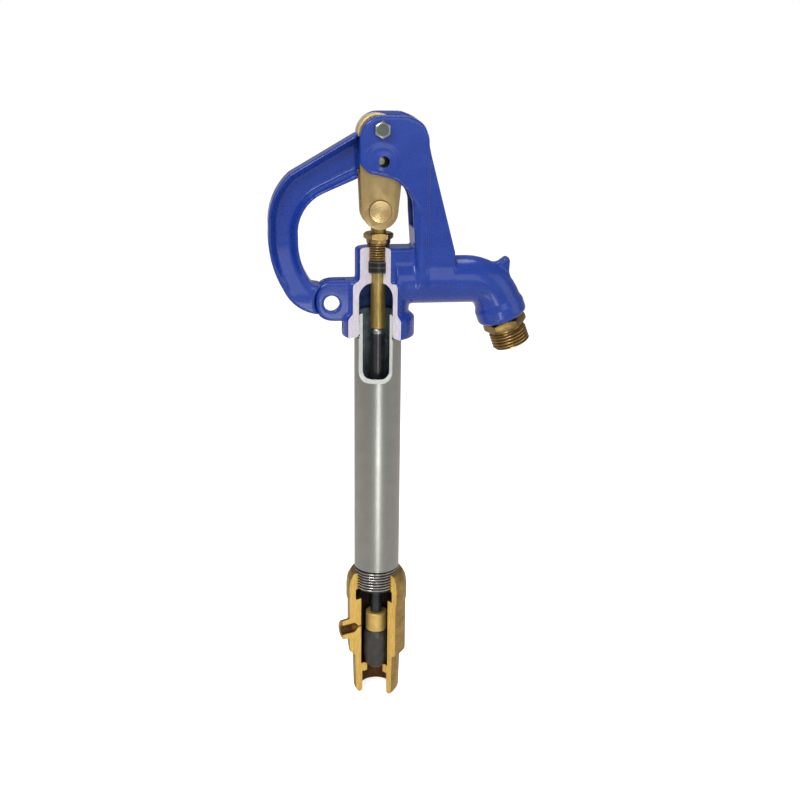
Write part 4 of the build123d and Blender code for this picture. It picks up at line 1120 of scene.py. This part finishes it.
drain_place.translation = (0, 0, DRAIN_Z * MM)
carve(valve, lathe("bore_cut", bore), top_thread, place_on(drain, drain_place), place_on(drain_thread, drain_place),
    wedge("body_wedge", BODY_CUT, -2, BODY_TOP + 2))
sawn = on_cut(valve, BODY_CUT)
paint(valve, sawn, ochre)
middle, normal, from_axis = faces_of(valve)
height = middle[:, 2]
in_relief = (from_axis < RELIEF_R + 0.1) & (height > RELIEF_LOW - 0.1) & (height < RELIEF_TOP + 0.1)
in_bore = (from_axis < BODY_BORE + 0.1) & (height > SEAT_TOP - 1.5) & (height < RELIEF_LOW)
# Painted shade on the walls of the bore and its relief
paint(valve, ~sawn & (in_relief | in_bore), bore_brown)
outwards = (middle * np.array([*to_boss, 0])).sum(1)
off_drain = np.linalg.norm(middle - np.array([0, 0, DRAIN_Z]) - outwards[:, None] * np.array([*to_boss, 0]), axis=1)
in_drain = (off_drain < 4.35) & (outwards > 10)
in_inlet = (from_axis < INLET_BORE + 0.1) & (height < SEAT_TOP)
paint(valve, ~sawn & in_inlet, inlet_bore_brass)
paint(valve, ~sawn & in_drain, tapped_brass)
# Tarnish and painted shade in the roots of the drain's thread
paint(valve, ~sawn & in_drain & (off_drain > 4.0), brass_groove_tarnish_and_shade)
smooth(valve)
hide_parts("valve_body")
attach(valve, "frame")

# Hose nozzle
hose_start = HEX_LONG + NECK_LONG
nozzle_hex = hexagon("nozzle_hex", HEX_NOZZLE, 0.15, HEX_LONG, nozzle_brass, radians(40), NOZZLE_BORE)
bevel(nozzle_hex, 0.35)
nozzle_neck = sleeve("nozzle_neck", HEX_LONG - 0.2, hose_start + 0.4, NOZZLE_BORE, HOSE_ROOT - 0.2, nozzle_brass)
hose = (NOZZLE_BORE, HOSE_R, HOSE_R - HOSE_ROOT, HOSE_PITCH, (0.8, 0.9), (0.2, 0.22), 128)
hose_thread = thread("hose_thread", turned_brass, hose_start, hose_start + HOSE_LONG, *hose)
darken_roots(hose_thread, HOSE_R, HOSE_R - HOSE_ROOT, brass_groove_tarnish_and_shade, 0.8)
nozzle_shank = thread("nozzle_shank", nozzle_brass, -SHANK_LONG, 0.3, NOZZLE_BORE, SHANK_R - 0.1, 0.8, 1.814,
    (0.5, 0.5))
nozzle = place_on(join("nozzle", nozzle_hex, nozzle_neck, hose_thread, nozzle_shank), outlet)
smooth(nozzle)
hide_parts("hose_nozzle")
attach(nozzle, "frame")

# Rubber plunger
rubber_line = soften([(0, 18.6), (3.5, 19.0), (6.4, 20.6), (8.6, 23.8), (RUBBER_R, 28.2), (RUBBER_R, 48.0), (8.6, 51.0),
    (7.9, 52.0), (0, 52.0)], [0, 3, 3, 3, 3, 1.5, 1.0, 0.4, 0])
seal = lathe("seal", rubber_line, rubber)
smooth(seal)
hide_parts("plunger_rubber")
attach(seal, "stem")

# Solids that keep their own shape
for name, material in (
    ("pivot_washer", zinc_bolt),
    ("pin_clip", zinc_bolt),
    ("packing_washers", washer_steel),
    ("packing_ring_upper", packing),
    ("packing_ring_lower", packing),
    ("stem_rod", stem_brass),
    ("rod_ferrule", zinc_pipe),
    ("operating_rod", rod_black),
    ("plunger_head", plunger_brass),
    ("plunger_stud", turned_brass),
):
    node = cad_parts[name]
    if not node.material_slots:
        node.data.materials.append(material)
    for slot in node.material_slots:
        slot.link = "OBJECT"
        slot.material = material
